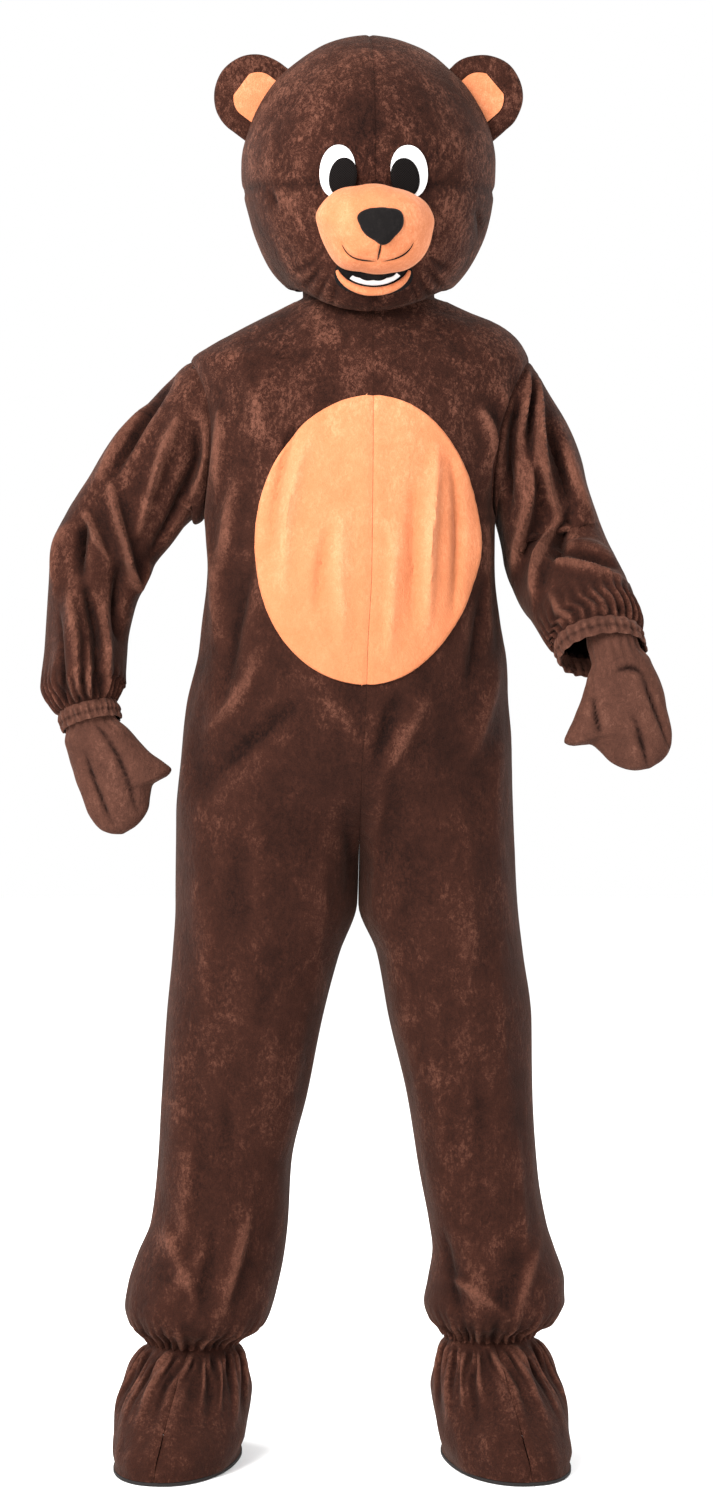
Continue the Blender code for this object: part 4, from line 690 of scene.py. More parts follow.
# Creases: soft ridges and, with a negative depth, troughs, as seen from the front or the back. Each
# runs from its start through its bend to its end; lean makes one side of it steeper than the other.
# Columns: start x, start height, bend x, bend height, end x, end height, width, depth, lean.
CREASES = {
    ("body", "front"): (
        (-0.162, 1.275, -0.177, 1.187, -0.192, 1.061, 0.013, 0.007, 0.3),
        (-0.147, 1.162, -0.162, 1.086, -0.182, 0.985, 0.012, -0.006, 0.2),
        (-0.132, 1.061, -0.159, 0.998, -0.204, 0.947, 0.013, 0.006, 0.0),
        (-0.084, 0.985, -0.132, 0.947, -0.210, 0.872, 0.012, -0.005, 0.2),
        (-0.046, 0.985, -0.018, 0.954, -0.005, 0.897, 0.012, 0.005, 0.0),
        (-0.187, 1.364, -0.182, 1.313, -0.190, 1.238, 0.01, 0.007, 0.3),
        (-0.166, 1.414, -0.140, 1.370, -0.132, 1.313, 0.018, 0.004, 0.0),
        (-0.140, 1.439, -0.103, 1.427, -0.058, 1.427, 0.02, -0.003, 0.0),
        (0.143, 1.359, 0.159, 1.323, 0.154, 1.263, 0.01, 0.01, 0.4),
        (0.159, 1.275, 0.169, 1.307, 0.184, 1.339, 0.008, -0.008, 0.0),
        (0.172, 1.383, 0.179, 1.351, 0.176, 1.313, 0.007, 0.006, 0.0),
        (0.159, 1.238, 0.151, 1.162, 0.159, 1.061, 0.012, 0.008, 0.3),
        (0.149, 1.162, 0.143, 1.086, 0.131, 1.010, 0.01, -0.006, 0.0),
        (0.169, 1.061, 0.156, 0.985, 0.131, 0.909, 0.014, 0.006, 0.0),
        (0.080, 0.998, 0.055, 0.947, 0.017, 0.884, 0.013, 0.005, 0.2),
        (0.042, 0.998, 0.022, 0.947, 0.007, 0.897, 0.01, -0.005, 0.0),
        (0.175, 0.935, 0.164, 0.859, 0.169, 0.733, 0.016, 0.005, 0.0),
        (-0.084, 1.332, -0.105, 1.288, -0.123, 1.164, 0.007, -0.006, 0.2),
        (-0.074, 1.313, -0.094, 1.238, -0.104, 1.124, 0.009, 0.006, 0.0),
        (-0.045, 1.207, -0.056, 1.162, -0.061, 1.099, 0.007, -0.005, 0.0),
        (-0.027, 1.238, -0.033, 1.149, -0.027, 1.048, 0.01, 0.004, 0.0),
        (0.090, 1.306, 0.080, 1.203, 0.077, 1.084, 0.009, 0.008, 0.3),
        (0.106, 1.292, 0.114, 1.200, 0.108, 1.101, 0.007, -0.007, 0.0),
        (0.058, 1.263, 0.060, 1.174, 0.058, 1.086, 0.009, -0.005, 0.0),
        (0.036, 1.212, 0.032, 1.124, 0.027, 1.036, 0.01, 0.005, 0.0),
        (-0.132, 0.859, -0.140, 0.783, -0.132, 0.657, 0.018, 0.005, 0.0),
        (-0.061, 0.783, -0.056, 0.708, -0.069, 0.607, 0.012, 0.006, 0.3),
        (-0.027, 0.859, -0.021, 0.796, -0.027, 0.726, 0.01, -0.006, 0.0),
        (-0.197, 0.758, -0.205, 0.632, -0.202, 0.493, 0.018, 0.005, 0.2),
        (-0.109, 0.594, -0.122, 0.493, -0.132, 0.367, 0.015, 0.005, 0.2),
        (-0.170, 0.556, -0.177, 0.455, -0.172, 0.342, 0.014, -0.005, 0.0),
        (-0.223, 0.442, -0.230, 0.354, -0.235, 0.278, 0.012, 0.006, 0.3),
        (-0.260, 0.316, -0.241, 0.266, -0.210, 0.203, 0.009, 0.006, 0.2),
        (-0.147, 0.335, -0.162, 0.276, -0.182, 0.200, 0.01, 0.007, 0.3),
        (-0.197, 0.316, -0.202, 0.260, -0.215, 0.196, 0.008, -0.006, 0.0),
        (0.021, 0.872, 0.012, 0.796, 0.007, 0.695, 0.012, 0.006, 0.3),
        (0.055, 0.821, 0.048, 0.708, 0.058, 0.607, 0.016, -0.004, 0.0),
        (0.121, 0.859, 0.131, 0.733, 0.121, 0.594, 0.02, 0.005, 0.0),
        (0.169, 0.695, 0.174, 0.581, 0.184, 0.468, 0.015, 0.005, 0.2),
        (0.080, 0.556, 0.093, 0.468, 0.101, 0.354, 0.013, 0.005, 0.2),
        (0.137, 0.543, 0.146, 0.442, 0.141, 0.329, 0.014, -0.005, 0.0),
        (0.194, 0.430, 0.199, 0.354, 0.207, 0.276, 0.012, 0.006, 0.3),
        (0.106, 0.241, 0.143, 0.228, 0.185, 0.193, 0.008, 0.008, 0.3),
        (0.099, 0.304, 0.108, 0.253, 0.121, 0.196, 0.009, -0.006, 0.0),
        (0.225, 0.291, 0.207, 0.241, 0.194, 0.195, 0.009, 0.006, 0.2),
    ),
    ("body", "back"): (
        (-0.170, 1.300, -0.150, 1.230, -0.178, 1.140, 0.014, 0.008, 0.3),
        (-0.120, 1.330, -0.110, 1.240, -0.130, 1.120, 0.016, -0.006, 0.0),
        (-0.080, 1.220, -0.095, 1.120, -0.090, 1.010, 0.014, 0.006, 0.2),
        (0.140, 1.320, 0.125, 1.230, 0.150, 1.150, 0.014, 0.008, 0.3),
        (0.090, 1.300, 0.085, 1.210, 0.100, 1.110, 0.016, -0.006, 0.0),
        (0.070, 1.180, 0.080, 1.090, 0.070, 0.990, 0.014, 0.006, 0.2),
        (-0.200, 1.080, -0.150, 1.060, -0.090, 1.065, 0.013, 0.005, 0.4),
        (0.160, 1.060, 0.110, 1.045, 0.060, 1.055, 0.013, 0.005, 0.4),
        (-0.040, 0.900, -0.100, 0.850, -0.190, 0.830, 0.014, 0.007, 0.4),
        (0.030, 0.900, 0.080, 0.855, 0.150, 0.840, 0.014, 0.007, 0.4),
        (-0.050, 0.850, -0.085, 0.800, -0.140, 0.770, 0.012, -0.006, 0.0),
        (0.035, 0.850, 0.070, 0.800, 0.120, 0.775, 0.012, -0.006, 0.0),
        (-0.180, 0.720, -0.190, 0.620, -0.185, 0.480, 0.020, 0.006, 0.2),
        (0.120, 0.720, 0.130, 0.610, 0.135, 0.470, 0.020, 0.006, 0.2),
        (-0.110, 0.640, -0.120, 0.540, -0.150, 0.420, 0.014, -0.005, 0.0),
        (0.070, 0.640, 0.085, 0.530, 0.110, 0.420, 0.014, -0.005, 0.0),
        (-0.230, 0.450, -0.225, 0.350, -0.240, 0.240, 0.014, 0.006, 0.3),
        (0.190, 0.450, 0.185, 0.350, 0.200, 0.240, 0.014, 0.006, 0.3),
        (-0.160, 0.330, -0.175, 0.260, -0.200, 0.190, 0.010, 0.006, 0.3),
        (0.115, 0.330, 0.130, 0.260, 0.150, 0.200, 0.010, 0.006, 0.3),
    ),
    ("left", "front"): (
        (-0.252, 1.405, -0.291, 1.343, -0.327, 1.271, 0.011, -0.012, 0.3),
        (-0.278, 1.388, -0.314, 1.324, -0.347, 1.266, 0.01, 0.007, 0.0),
        (-0.239, 1.349, -0.263, 1.284, -0.293, 1.199, 0.01, 0.01, 0.3),
        (-0.216, 1.337, -0.221, 1.268, -0.278, 1.168, 0.012, -0.014, 0.3),
        (-0.196, 1.362, -0.209, 1.284, -0.237, 1.232, 0.008, 0.009, 0.2),
        (-0.328, 1.268, -0.306, 1.182, -0.299, 1.127, 0.008, 0.012, 0.5),
        (-0.360, 1.229, -0.347, 1.202, -0.329, 1.166, 0.006, 0.008, 0.3),
        (-0.358, 1.214, -0.369, 1.182, -0.365, 1.144, 0.009, -0.012, 0.0),
        (-0.314, 1.163, -0.319, 1.112, -0.314, 1.060, 0.008, -0.01, 0.0),
        (-0.381, 1.214, -0.396, 1.182, -0.399, 1.124, 0.01, 0.006, 0.0),
        (-0.363, 1.137, -0.347, 1.086, -0.342, 0.996, 0.007, -0.008, 0.2),
        (-0.381, 1.124, -0.371, 1.060, -0.368, 0.983, 0.007, 0.007, 0.2),
        (-0.396, 1.099, -0.391, 1.034, -0.383, 0.977, 0.006, -0.006, 0.0),
        (-0.337, 1.112, -0.332, 1.047, -0.335, 0.983, 0.006, 0.007, 0.0),
        (-0.299, 1.124, -0.291, 1.144, -0.278, 1.166, 0.006, 0.006, 0.0),
        (-0.355, 1.060, -0.354, 1.022, -0.355, 0.977, 0.005, 0.006, 0.0),
    ),
    ("left", "back"): (
        (-0.235, 1.400, -0.290, 1.320, -0.330, 1.240, 0.012, 0.009, 0.3),
        (-0.225, 1.330, -0.255, 1.270, -0.300, 1.200, 0.012, -0.009, 0.2),
        (-0.240, 1.270, -0.275, 1.220, -0.315, 1.170, 0.009, 0.008, 0.2),
        (-0.375, 1.230, -0.355, 1.170, -0.330, 1.140, 0.010, 0.009, 0.4),
        (-0.390, 1.160, -0.350, 1.130, -0.320, 1.130, 0.008, -0.008, 0.2),
        (-0.385, 1.120, -0.375, 1.050, -0.370, 0.990, 0.008, 0.007, 0.0),
        (-0.350, 1.120, -0.350, 1.050, -0.358, 0.985, 0.008, 0.007, 0.0),
        (-0.366, 1.080, -0.364, 1.030, -0.364, 0.985, 0.007, -0.006, 0.0),
    ),
    ("right", "front"): (
        (0.208, 1.425, 0.205, 1.366, 0.196, 1.315, 0.007, 0.009, 0.3),
        (0.222, 1.397, 0.227, 1.308, 0.251, 1.220, 0.008, 0.013, 0.4),
        (0.234, 1.341, 0.250, 1.284, 0.262, 1.239, 0.009, -0.01, 0.0),
        (0.195, 1.377, 0.185, 1.294, 0.182, 1.231, 0.009, -0.012, 0.0),
        (0.216, 1.321, 0.205, 1.220, 0.192, 1.147, 0.009, 0.011, 0.3),
        (0.215, 1.405, 0.211, 1.341, 0.214, 1.264, 0.006, -0.007, 0.0),
        (0.253, 1.315, 0.270, 1.264, 0.293, 1.213, 0.012, 0.005, 0.0),
        (0.251, 1.220, 0.227, 1.169, 0.216, 1.114, 0.008, 0.012, 0.6),
        (0.266, 1.239, 0.247, 1.188, 0.237, 1.162, 0.007, -0.008, 0.0),
        (0.230, 1.168, 0.275, 1.155, 0.326, 1.137, 0.006, 0.008, 0.4),
        (0.242, 1.178, 0.285, 1.173, 0.321, 1.155, 0.007, -0.007, 0.0),
        (0.232, 1.124, 0.247, 1.099, 0.257, 1.076, 0.008, 0.005, 0.0),
        (0.285, 1.111, 0.298, 1.092, 0.308, 1.071, 0.007, 0.004, 0.0),
        (0.313, 1.111, 0.324, 1.096, 0.331, 1.080, 0.006, -0.004, 0.0),
    ),
    ("right", "back"): (
        (0.215, 1.400, 0.220, 1.310, 0.245, 1.220, 0.011, 0.009, 0.3),
        (0.195, 1.350, 0.198, 1.270, 0.215, 1.190, 0.011, -0.009, 0.2),
        (0.240, 1.330, 0.255, 1.250, 0.270, 1.190, 0.010, 0.007, 0.0),
        (0.215, 1.180, 0.250, 1.150, 0.290, 1.150, 0.010, 0.009, 0.4),
        (0.220, 1.150, 0.250, 1.125, 0.300, 1.125, 0.009, -0.007, 0.2),
        (0.250, 1.110, 0.280, 1.090, 0.320, 1.100, 0.008, 0.006, 0.2),
    ),
}
CREASE_STEPS = 14


def crease_depth(table, x, height):
    """How far a table of creases lifts the cloth at places seen from the front."""
    lift = np.zeros(np.broadcast(x, height).shape)
    t = np.linspace(0, 1, CREASE_STEPS)[:, None]
    for x0, z0, x1, z1, x2, z2, width, depth, lean in table:
        start, bend, end = np.array([x0, z0]), np.array([x1, z1]), np.array([x2, z2])
        bend = 2 * bend - (start + end) / 2
        line = start * (1 - t) ** 2 + 2 * bend * t * (1 - t) + end * t**2
        best = np.full(lift.shape, np.inf)
        side, place_along = np.zeros(lift.shape), np.zeros(lift.shape)
        for k in range(CREASE_STEPS - 1):
            run = line[k + 1] - line[k]
            dx, dz = x - line[k][0], height - line[k][1]
            share = np.clip((dx * run[0] + dz * run[1]) / (run @ run), 0, 1)
            away = np.hypot(dx - share * run[0], dz - share * run[1])
            nearer = away < best
            best = np.where(nearer, away, best)
            side = np.where(nearer, np.sign(dx * run[1] - dz * run[0]), side)
            place_along = np.where(nearer, (k + share) / (CREASE_STEPS - 1), place_along)
        spread = width * (1 + lean * side)
        fade = np.sin(np.pi * (0.04 + 0.92 * place_along)) ** 0.8
        away = best / spread
        lift = lift + depth * fade * (0.7 * np.exp(-(away**2)) + 0.3 * np.exp(-((2.6 * away) ** 2)))
    return lift


# Noise


def hashed(i, j, k, seed):
    """A repeatable number from 0 to 1 for each point of a lattice."""
    n = (i * 73856093) ^ (j * 19349663) ^ (k * 83492791) ^ (seed * 2654435761)
    n = (n ^ (n >> 13)) * 1274126177 & 0x7FFFFFFF
    n = (n ^ (n >> 16)) & 0xFFFF
    return n / 65535.0


def noise(points, size, seed):
    """Smooth noise from -1 to 1 whose lumps are about as wide as size, in metres."""
    scaled = points / size
    cell = np.floor(scaled).astype(np.int64)
    t = scaled - cell
    t = t * t * (3 - 2 * t)
    total = 0.0
    for di in (0, 1):
        for dj in (0, 1):
            for dk in (0, 1):
                weight = (
                    np.where(di, t[..., 0], 1 - t[..., 0])
                    * np.where(dj, t[..., 1], 1 - t[..., 1])
                    * np.where(dk, t[..., 2], 1 - t[..., 2])
                )
                total = total + weight * hashed(
                    cell[..., 0] + di, cell[..., 1] + dj, cell[..., 2] + dk, seed
                )
    return 2 * total - 1


# Building meshes


def tube_grid(around, v):
    """u round a tube and v along it, as two grids."""
    return np.meshgrid(np.arange(around) / around, v)


def tube_faces(rings, sides, first=0):
    """The quads between rings of points."""
    number = first + np.arange(rings * sides).reshape(rings, sides)
    after = np.roll(number, -1, axis=1)
    return np.stack([number[:-1], after[:-1], after[1:], number[1:]], axis=-1).reshape(-1, 4)


def tube_caps(rings, sides):
    """The first and the last ring as two faces, to close the quads of tube_faces."""
    first = np.arange(sides)[::-1]
    return [first[None, :], (np.arange(sides) + (rings - 1) * sides)[None, :]]


def tube_points(line, across, over, radius, sides, squash=1.0):
    """Rings of points round a line."""
    turn = 2 * math.pi * np.arange(sides) / sides
    rings = (
        line[:, None, :]
        + across[:, None, :] * (np.cos(turn)[None, :] * radius[:, None])[..., None]
        + over[:, None, :] * (np.sin(turn)[None, :] * radius[:, None] * squash)[..., None]
    )
    return rings.reshape(-1, 3)


def outward(points, faces):
    """The faces, turned round if they look into the solid they enclose."""
    points = points - points.mean(axis=0)
    volume = 0.0
    for part in faces:
        for k in range(1, part.shape[1] - 1):
            a, b, c = points[part[:, 0]], points[part[:, k]], points[part[:, k + 1]]
            volume += np.sum(a * np.cross(b, c))
    return [part[:, ::-1] for part in faces] if volume < 0 else faces


def grid_normals(points, closed, inside):
    """Normals of a grid of points, away from the points inside. Rows run down and columns across."""
    if closed:
        along = np.roll(points, -1, axis=1) - np.roll(points, 1, axis=1)
    else:
        along = np.gradient(points, axis=1)
    down = np.gradient(points, axis=0)
    normal = unit(np.cross(along, down))
    middle = normal.shape[0] // 2
    facing = np.sum(normal * (points - inside), axis=-1)
    turn = np.sign(np.sum(facing[middle - 1 : middle + 2]))
    return normal * (turn if turn else 1.0)


def new_mesh(name, points, faces, slot, painted_fold_light=None, mapped=None, sharp=60):
    """An object from arrays of points and of faces with as many corners each, shaded smooth."""
    faces = outward(points, faces)
    if painted_fold_light is None:
        painted_fold_light = np.zeros(len(points))
    mesh = bpy.data.meshes.new(name)
    mesh.vertices.add(len(points))
    mesh.vertices.foreach_set("co", points.ravel())
    corners = np.concatenate([part.ravel() for part in faces])
    sizes = np.concatenate([np.full(len(part), part.shape[1]) for part in faces])
    starts = np.concatenate([[0], np.cumsum(sizes)[:-1]])
    mesh.loops.add(len(corners))
    mesh.loops.foreach_set("vertex_index", corners)
    mesh.polygons.add(len(sizes))
    mesh.polygons.foreach_set("loop_start", starts)
    mesh.polygons.foreach_set("loop_total", sizes)
    mesh.update(calc_edges=True)
    mesh.validate()
    # This attribute drives the plush's painted highlights on ridges and painted shade in troughs.
    mesh.attributes.new("painted_fold_light", "FLOAT", "POINT").data.foreach_set("value", painted_fold_light)
    if mapped is not None:
        mesh.uv_layers.new(name="UVMap").data.foreach_set("uv", mapped[corners].ravel())
    mesh.shade_smooth()
    mesh.set_sharp_from_angle(angle=math.radians(sharp))
    piece = bpy.data.objects.new(name, mesh)
    bpy.context.scene.collection.objects.link(piece)
    mesh.materials.append(MATERIALS[slot])
    return piece


def relief(lift, closed=False, steps=28):
    """How far each place stands above the cloth round it; the plush paints it as highlights on ridges and
    shade in troughs.
    """
    level = lift
    for _ in range(steps):
        wide = np.pad(level, ((1, 1), (0, 0)), "edge")
        level = (wide[2:] + wide[:-2] + 2 * level) / 4
        wide = np.pad(level, ((0, 0), (1, 1)), "wrap" if closed else "edge")
        level = (wide[:, 2:] + wide[:, :-2] + 2 * level) / 4
    return lift - level


def wall(name, slot, outer, inner, closed, painted_fold_light):
    """A solid between two grids of points, with faces along their edges."""
    rows, columns = outer.shape[:2]
    count = rows * columns
    number = np.arange(count).reshape(rows, columns)
    after = np.roll(number, -1, axis=1) if closed else number[:, 1:]
    before = number if closed else number[:, :-1]
    quads = np.stack([before[:-1], after[:-1], after[1:], before[1:]], axis=-1).reshape(-1, 4)
    parts = [quads, quads[:, ::-1] + count]
    edges = [(after[0], before[0]), (before[-1], after[-1])]
    if not closed:
        edges += [(number[:-1, 0], number[1:, 0]), (number[1:, -1], number[:-1, -1])]
    for start, end in edges:
        parts.append(np.stack([start, end, end + count, start + count], axis=-1))
    points = np.vstack([outer.reshape(-1, 3), inner.reshape(-1, 3)])
    return new_mesh(name, points, parts, slot, np.concatenate([painted_fold_light.ravel(), painted_fold_light.ravel()]))


def shell(name, slot, points, inside, thick, closed=False, lift=0.0, painted_fold_light=None):
    """A thin closed shell on a grid of points, its outer face lifted along the normals."""
    lift = np.broadcast_to(lift, points.shape[:2])
    points = points + grid_normals(points, closed, inside) * lift[..., None]
    inner = points - grid_normals(points, closed, inside) * thick
    # The relief stored on the shell sets its painted highlights and painted shade.
    return wall(name, slot, points, inner, closed, relief(lift if painted_fold_light is None else painted_fold_light, closed))


def finish_piece(piece, nodes):
    """Rides a piece on the root body and hides the solids that it stands for."""
    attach(piece, "root")
    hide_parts(*nodes)


def edge_dip(distance, depth=0.0022, width=0.0045):
    """The roll of a seam: the cloth turns in at its edge."""
    return -depth * np.exp(-((distance / width) ** 2))


def row_distance(points, start=True, end=True):
    """How far each point of a grid is from the first and last columns, along its row."""
    step = np.linalg.norm(np.diff(points, axis=1), axis=-1)
    run = np.concatenate([np.zeros((len(points), 1)), np.cumsum(step, axis=1)], axis=1)
    nearest = np.full(run.shape, np.inf)
    if start:
        nearest = np.minimum(nearest, run)
    if end:
        nearest = np.minimum(nearest, run[:, -1:] - run)
    return nearest


def soft_waves(points, seed, depth):
    """The small unevenness of plush over a body: wider along the height than across."""
    stretched = points * np.array([1.0, 1.0, 0.45])
    return depth * (noise(stretched, 0.055, seed) + 0.5 * noise(stretched, 0.026, seed + 7))


# Body

BODY_ACROSS = 66
BODY_ROWS = (16, 56, 136, 40)  # above the armhole, along it, below it and at the hem
NECK_EDGE = 1.4998
HEM_TOP = 0.24  # the rows are closer below it
EDGE_SHARE = 0.0006  # of its width that a piece's grid stops short of a seam


def body_grid(side, face):
    """Shares and heights of a panel's grid. Its rows are closest at the armhole's ends and the hem."""
    top, foot = ARMHOLE_MIDDLE + ARMHOLE_RISE, ARMHOLE_MIDDLE - ARMHOLE_RISE
    low = LEGS[side].low
    heights = np.concatenate(
        [
            np.linspace(NECK_EDGE, top, BODY_ROWS[0])[:-1],
            ARMHOLE_MIDDLE + ARMHOLE_RISE * np.sin(np.linspace(math.pi / 2, -math.pi / 2, BODY_ROWS[1])),
            np.linspace(foot, HEM_TOP, BODY_ROWS[2])[1:],
            np.linspace(HEM_TOP, low + SEAM, BODY_ROWS[3])[1:],
        ]
    )
    edge = armhole_share(side, face, heights)
    share = np.linspace(EDGE_SHARE, 1, BODY_ACROSS)[None, :] * (edge * (1 - EDGE_SHARE))[:, None]
    return share, np.repeat(heights[:, None], BODY_ACROSS, axis=1)


FOLD_GAIN = 0.6
CREASE_GAIN = {"leg": 0.55, "torso": 0.85, "hem": 0.60}  # the last two are added to the first
GATHER_GAIN = 0.7
FINE_GATHERS = {"turns": 2.6 * HEM_GATHERS, "depth": 0.0030, "reach": 0.032}
WAVES = {"body": 0.0026, "sleeve": 0.0020, "cover": 0.0022}


def body_lift(side, face, base, share, height):
    """All the folds of a body panel, and the gathers above its hem."""
    edge = armhole_share(side, face, height)
    lift = fold_depth(FOLDS[side, face], share, height, PANEL_WIDTH) * FOLD_GAIN
    strength = CREASE_GAIN["leg"] + CREASE_GAIN["torso"] * smooth((height - 0.80) / 0.15)
    strength = strength + CREASE_GAIN["hem"] * smooth((0.36 - height) / 0.08)
    lift = lift + strength * crease_depth(CREASES["body", face], base[..., 0], height)
    lift = lift * smooth(share / 0.08) * smooth((edge - share) / 0.08)
    lift = lift + GATHER_GAIN * gather_lift(side, share, height)
    above = height - LEGS[side].low
    turns = FINE_GATHERS["turns"] * share + 0.5 * noise(base, 0.05, 9)
    ruffle = np.exp(-((above / FINE_GATHERS["reach"]) ** 2)) * np.cos(2 * math.pi * turns)
    lift = lift + FINE_GATHERS["depth"] * ruffle
    fade = smooth(above / 0.03) * smooth((1.50 - height) / 0.02)
    fade = fade * smooth(share / 0.10) * smooth((edge - share) / 0.10)
    return lift + soft_waves(base, 3 if face == "front" else 5, WAVES["body"]) * fade


def body_points(side, face, share, height):
    """A panel before its folds, a point inside it, and how far the folds lift it."""
    base = body_base(side, face, share, height)
    inside = body_middle(side, height)
    lift = body_lift(side, face, base, share, height)
    return base, inside, lift


def body_middle(side, height):
    """A point inside the torso or the leg at each height."""
    left, right, front, back, seam = TORSO.at(height)
    leg_left, leg_right, leg_front, leg_back = LEGS[side].at(height)
    upper = height > FORK_HEIGHT
    edge = right if side == "right" else left
    x = np.where(upper, (seam + edge) / 2, (leg_left + leg_right) / 2)
    y = np.where(upper, (front + back) / 2, (leg_front + leg_back) / 2)
    return place(x, y, height)


def make_body():
    for side in SIDES:
        for face in ("front", "back"):
            share, height = body_grid(side, face)
            base, inside, lift = body_points(side, face, share, height)
            seam = edge_dip(row_distance(base)) * (1 - np.exp(-((row_distance(base) / 0.0016) ** 2)))
            closed = smooth((height - FORK_HEIGHT + 0.02) / 0.02)
            start = row_distance(base, end=False)
            seam = seam * np.where(start < row_distance(base, start=False), closed, 1.0)
            name = f"{face}_{side}"
            # The folds' lift is stored for painted highlights on their ridges and painted shade in their
            # troughs.
            piece = shell(name, "brown_plush", base, inside, CLOTH, lift=lift + seam, painted_fold_light=lift)
            nodes = [f"{name}_{part}" for part in ("chest", "hips", "thigh", "calf")]
            finish_piece(piece, nodes)


# Belly: an oval in two halves that follows the body's folds

BELLY_ROWS, BELLY_ACROSS = 90, 34
BELLY_LIFT = 0.0010
BELLY_THICK = 0.0030


def make_belly():
    for side in SIDES:
        turn = np.linspace(0.05, math.pi - 0.05, BELLY_ROWS)
        height = BELLY_MIDDLE + BELLY_RISE * np.cos(turn)
        hand = HAND[side]
        left, right, _, _, seam = TORSO.at(height)
        x = seam + hand * np.sin(turn) * BELLY_HALF_WIDTH[side]
        off = (x - (left + right) / 2) / ((right - left) / 2)
        start = seam_angle(height)
        angle = np.arcsin(power(off, BODY_FULLNESS / 2))
        edge = (angle - start) / (hand * math.pi / 2 - start)
        across = 1 - (1 - np.linspace(0, 1, BELLY_ACROSS)) ** 1.25
        share = EDGE_SHARE + (edge - EDGE_SHARE)[:, None] * across[None, :]
        height = np.repeat(height[:, None], BELLY_ACROSS, axis=1)
        base, inside, lift = body_points(side, "front", share, height)
        seam_line = edge_dip(row_distance(base, end=False), 0.0016, 0.004)
        rim = row_distance(base, start=False)
        top = np.minimum(height[0, 0] - height, height - height[-1, 0]) * 6
        rim = np.minimum(rim, np.abs(top) + 0.002 * across[None, :])
        rounded = -BELLY_THICK * 0.8 * np.exp(-((rim / 0.0022) ** 2))
        fuzz = 0.0007 * noise(base, 0.004, 11) * np.exp(-((rim / 0.01) ** 2))
        total = lift + BELLY_LIFT + BELLY_THICK + rounded + seam_line + fuzz
        name = f"belly_{side}"
        # The body's folds are stored for painted highlights on their ridges and painted shade in their
        # troughs.
        piece = shell(name, "tan_plush", base, inside, BELLY_THICK, lift=total, painted_fold_light=lift)
        finish_piece(piece, [name])


def make_back_flap():
    heights = np.linspace(1.486, 0.945, 130)
    parts = []
    for side, spread in (("left", np.linspace(1, 0.02, 8)), ("right", np.linspace(0.02, 1, 8))):
        share = np.repeat((0.075 * spread)[None, :], len(heights), axis=0)
        height = np.repeat(heights[:, None], len(spread), axis=1)
        base, inside, lift = body_points(side, "back", share, height)
        normal = grid_normals(base, False, inside)
        parts.append((base + normal * (lift + 0.0012)[..., None], inside, lift))
    points = np.concatenate([p[0] for p in parts], axis=1)
    inside = np.concatenate([p[1] for p in parts], axis=1)
    painted_fold_light = np.concatenate([p[2] for p in parts], axis=1)
    edge = np.exp(-((row_distance(points) / 0.0025) ** 2))
    lift = CLOTH * (1 - 0.8 * edge) + 0.0008 * noise(points, 0.03, 21)
    # The body's folds are stored for painted highlights on their ridges and painted shade in their
    # troughs.
    piece = shell("back_flap", "brown_plush", points, inside, CLOTH, lift=lift, painted_fold_light=painted_fold_light)
    finish_piece(piece, ["back_flap"])


# Sleeves and cuffs

SLEEVE_ROWS, SLEEVE_AROUND = 140, 138
SLEEVE_CREASE_GAIN = 1.8
CUFF_GATHERS = 26  # fine gathers that run up from the elastic
CUFF_GATHER_DEPTH = 0.0028
CUFF_AROUND = 288
CUFF_RIBS = {"casing": 31, "frill": 17}  # fine ruffles round the wrist
CUFF_CASING = 0.62  # share of the cuff's height at which the elastic lies


def make_sleeves():
    for side in SIDES:
        u, v = tube_grid(SLEEVE_AROUND, np.linspace(0, 1, SLEEVE_ROWS))
        points = sleeve(side)(u, v)
        inside = sleeve_spine(side, v)[0]
        normal = grid_normals(points, True, inside)
        height = points[..., 2] + NECK_HEIGHT
        front, back = smooth(0.5 - 1.6 * normal[..., 1]), smooth(0.5 + 1.6 * normal[..., 1])
        lift = crease_depth(CREASES[side, "front"], points[..., 0], height) * front
        lift = lift + crease_depth(CREASES[side, "back"], points[..., 0], height) * back
        lift = SLEEVE_CREASE_GAIN * lift * smooth(v / 0.05) * smooth((1 - v) / 0.04)
        gather = CUFF_GATHER_DEPTH * smooth((v - 0.80) / 0.16) * smooth((1.0 - v) / 0.02 + 0.25)
        lift = lift + gather * np.cos(CUFF_GATHERS * 2 * math.pi * u + 3 * noise(points, 0.05, 31))
        free = smooth(v / 0.06) * smooth((1 - v) / 0.05)
        lift = lift + soft_waves(points, 13, WAVES["sleeve"]) * free
        seam = -0.0016 * np.exp(-((v / 0.012) ** 2))
        name = f"sleeve_{side}"
        # The creases and gathers are stored for painted highlights on their ridges and painted shade in
        # their troughs.
        piece = shell(
            name, "brown_plush", points, inside, CLOTH, closed=True, lift=lift + seam, painted_fold_light=lift
        )
        nodes = [f"{name}_upper", f"{name}_lower"]
        finish_piece(piece, nodes)


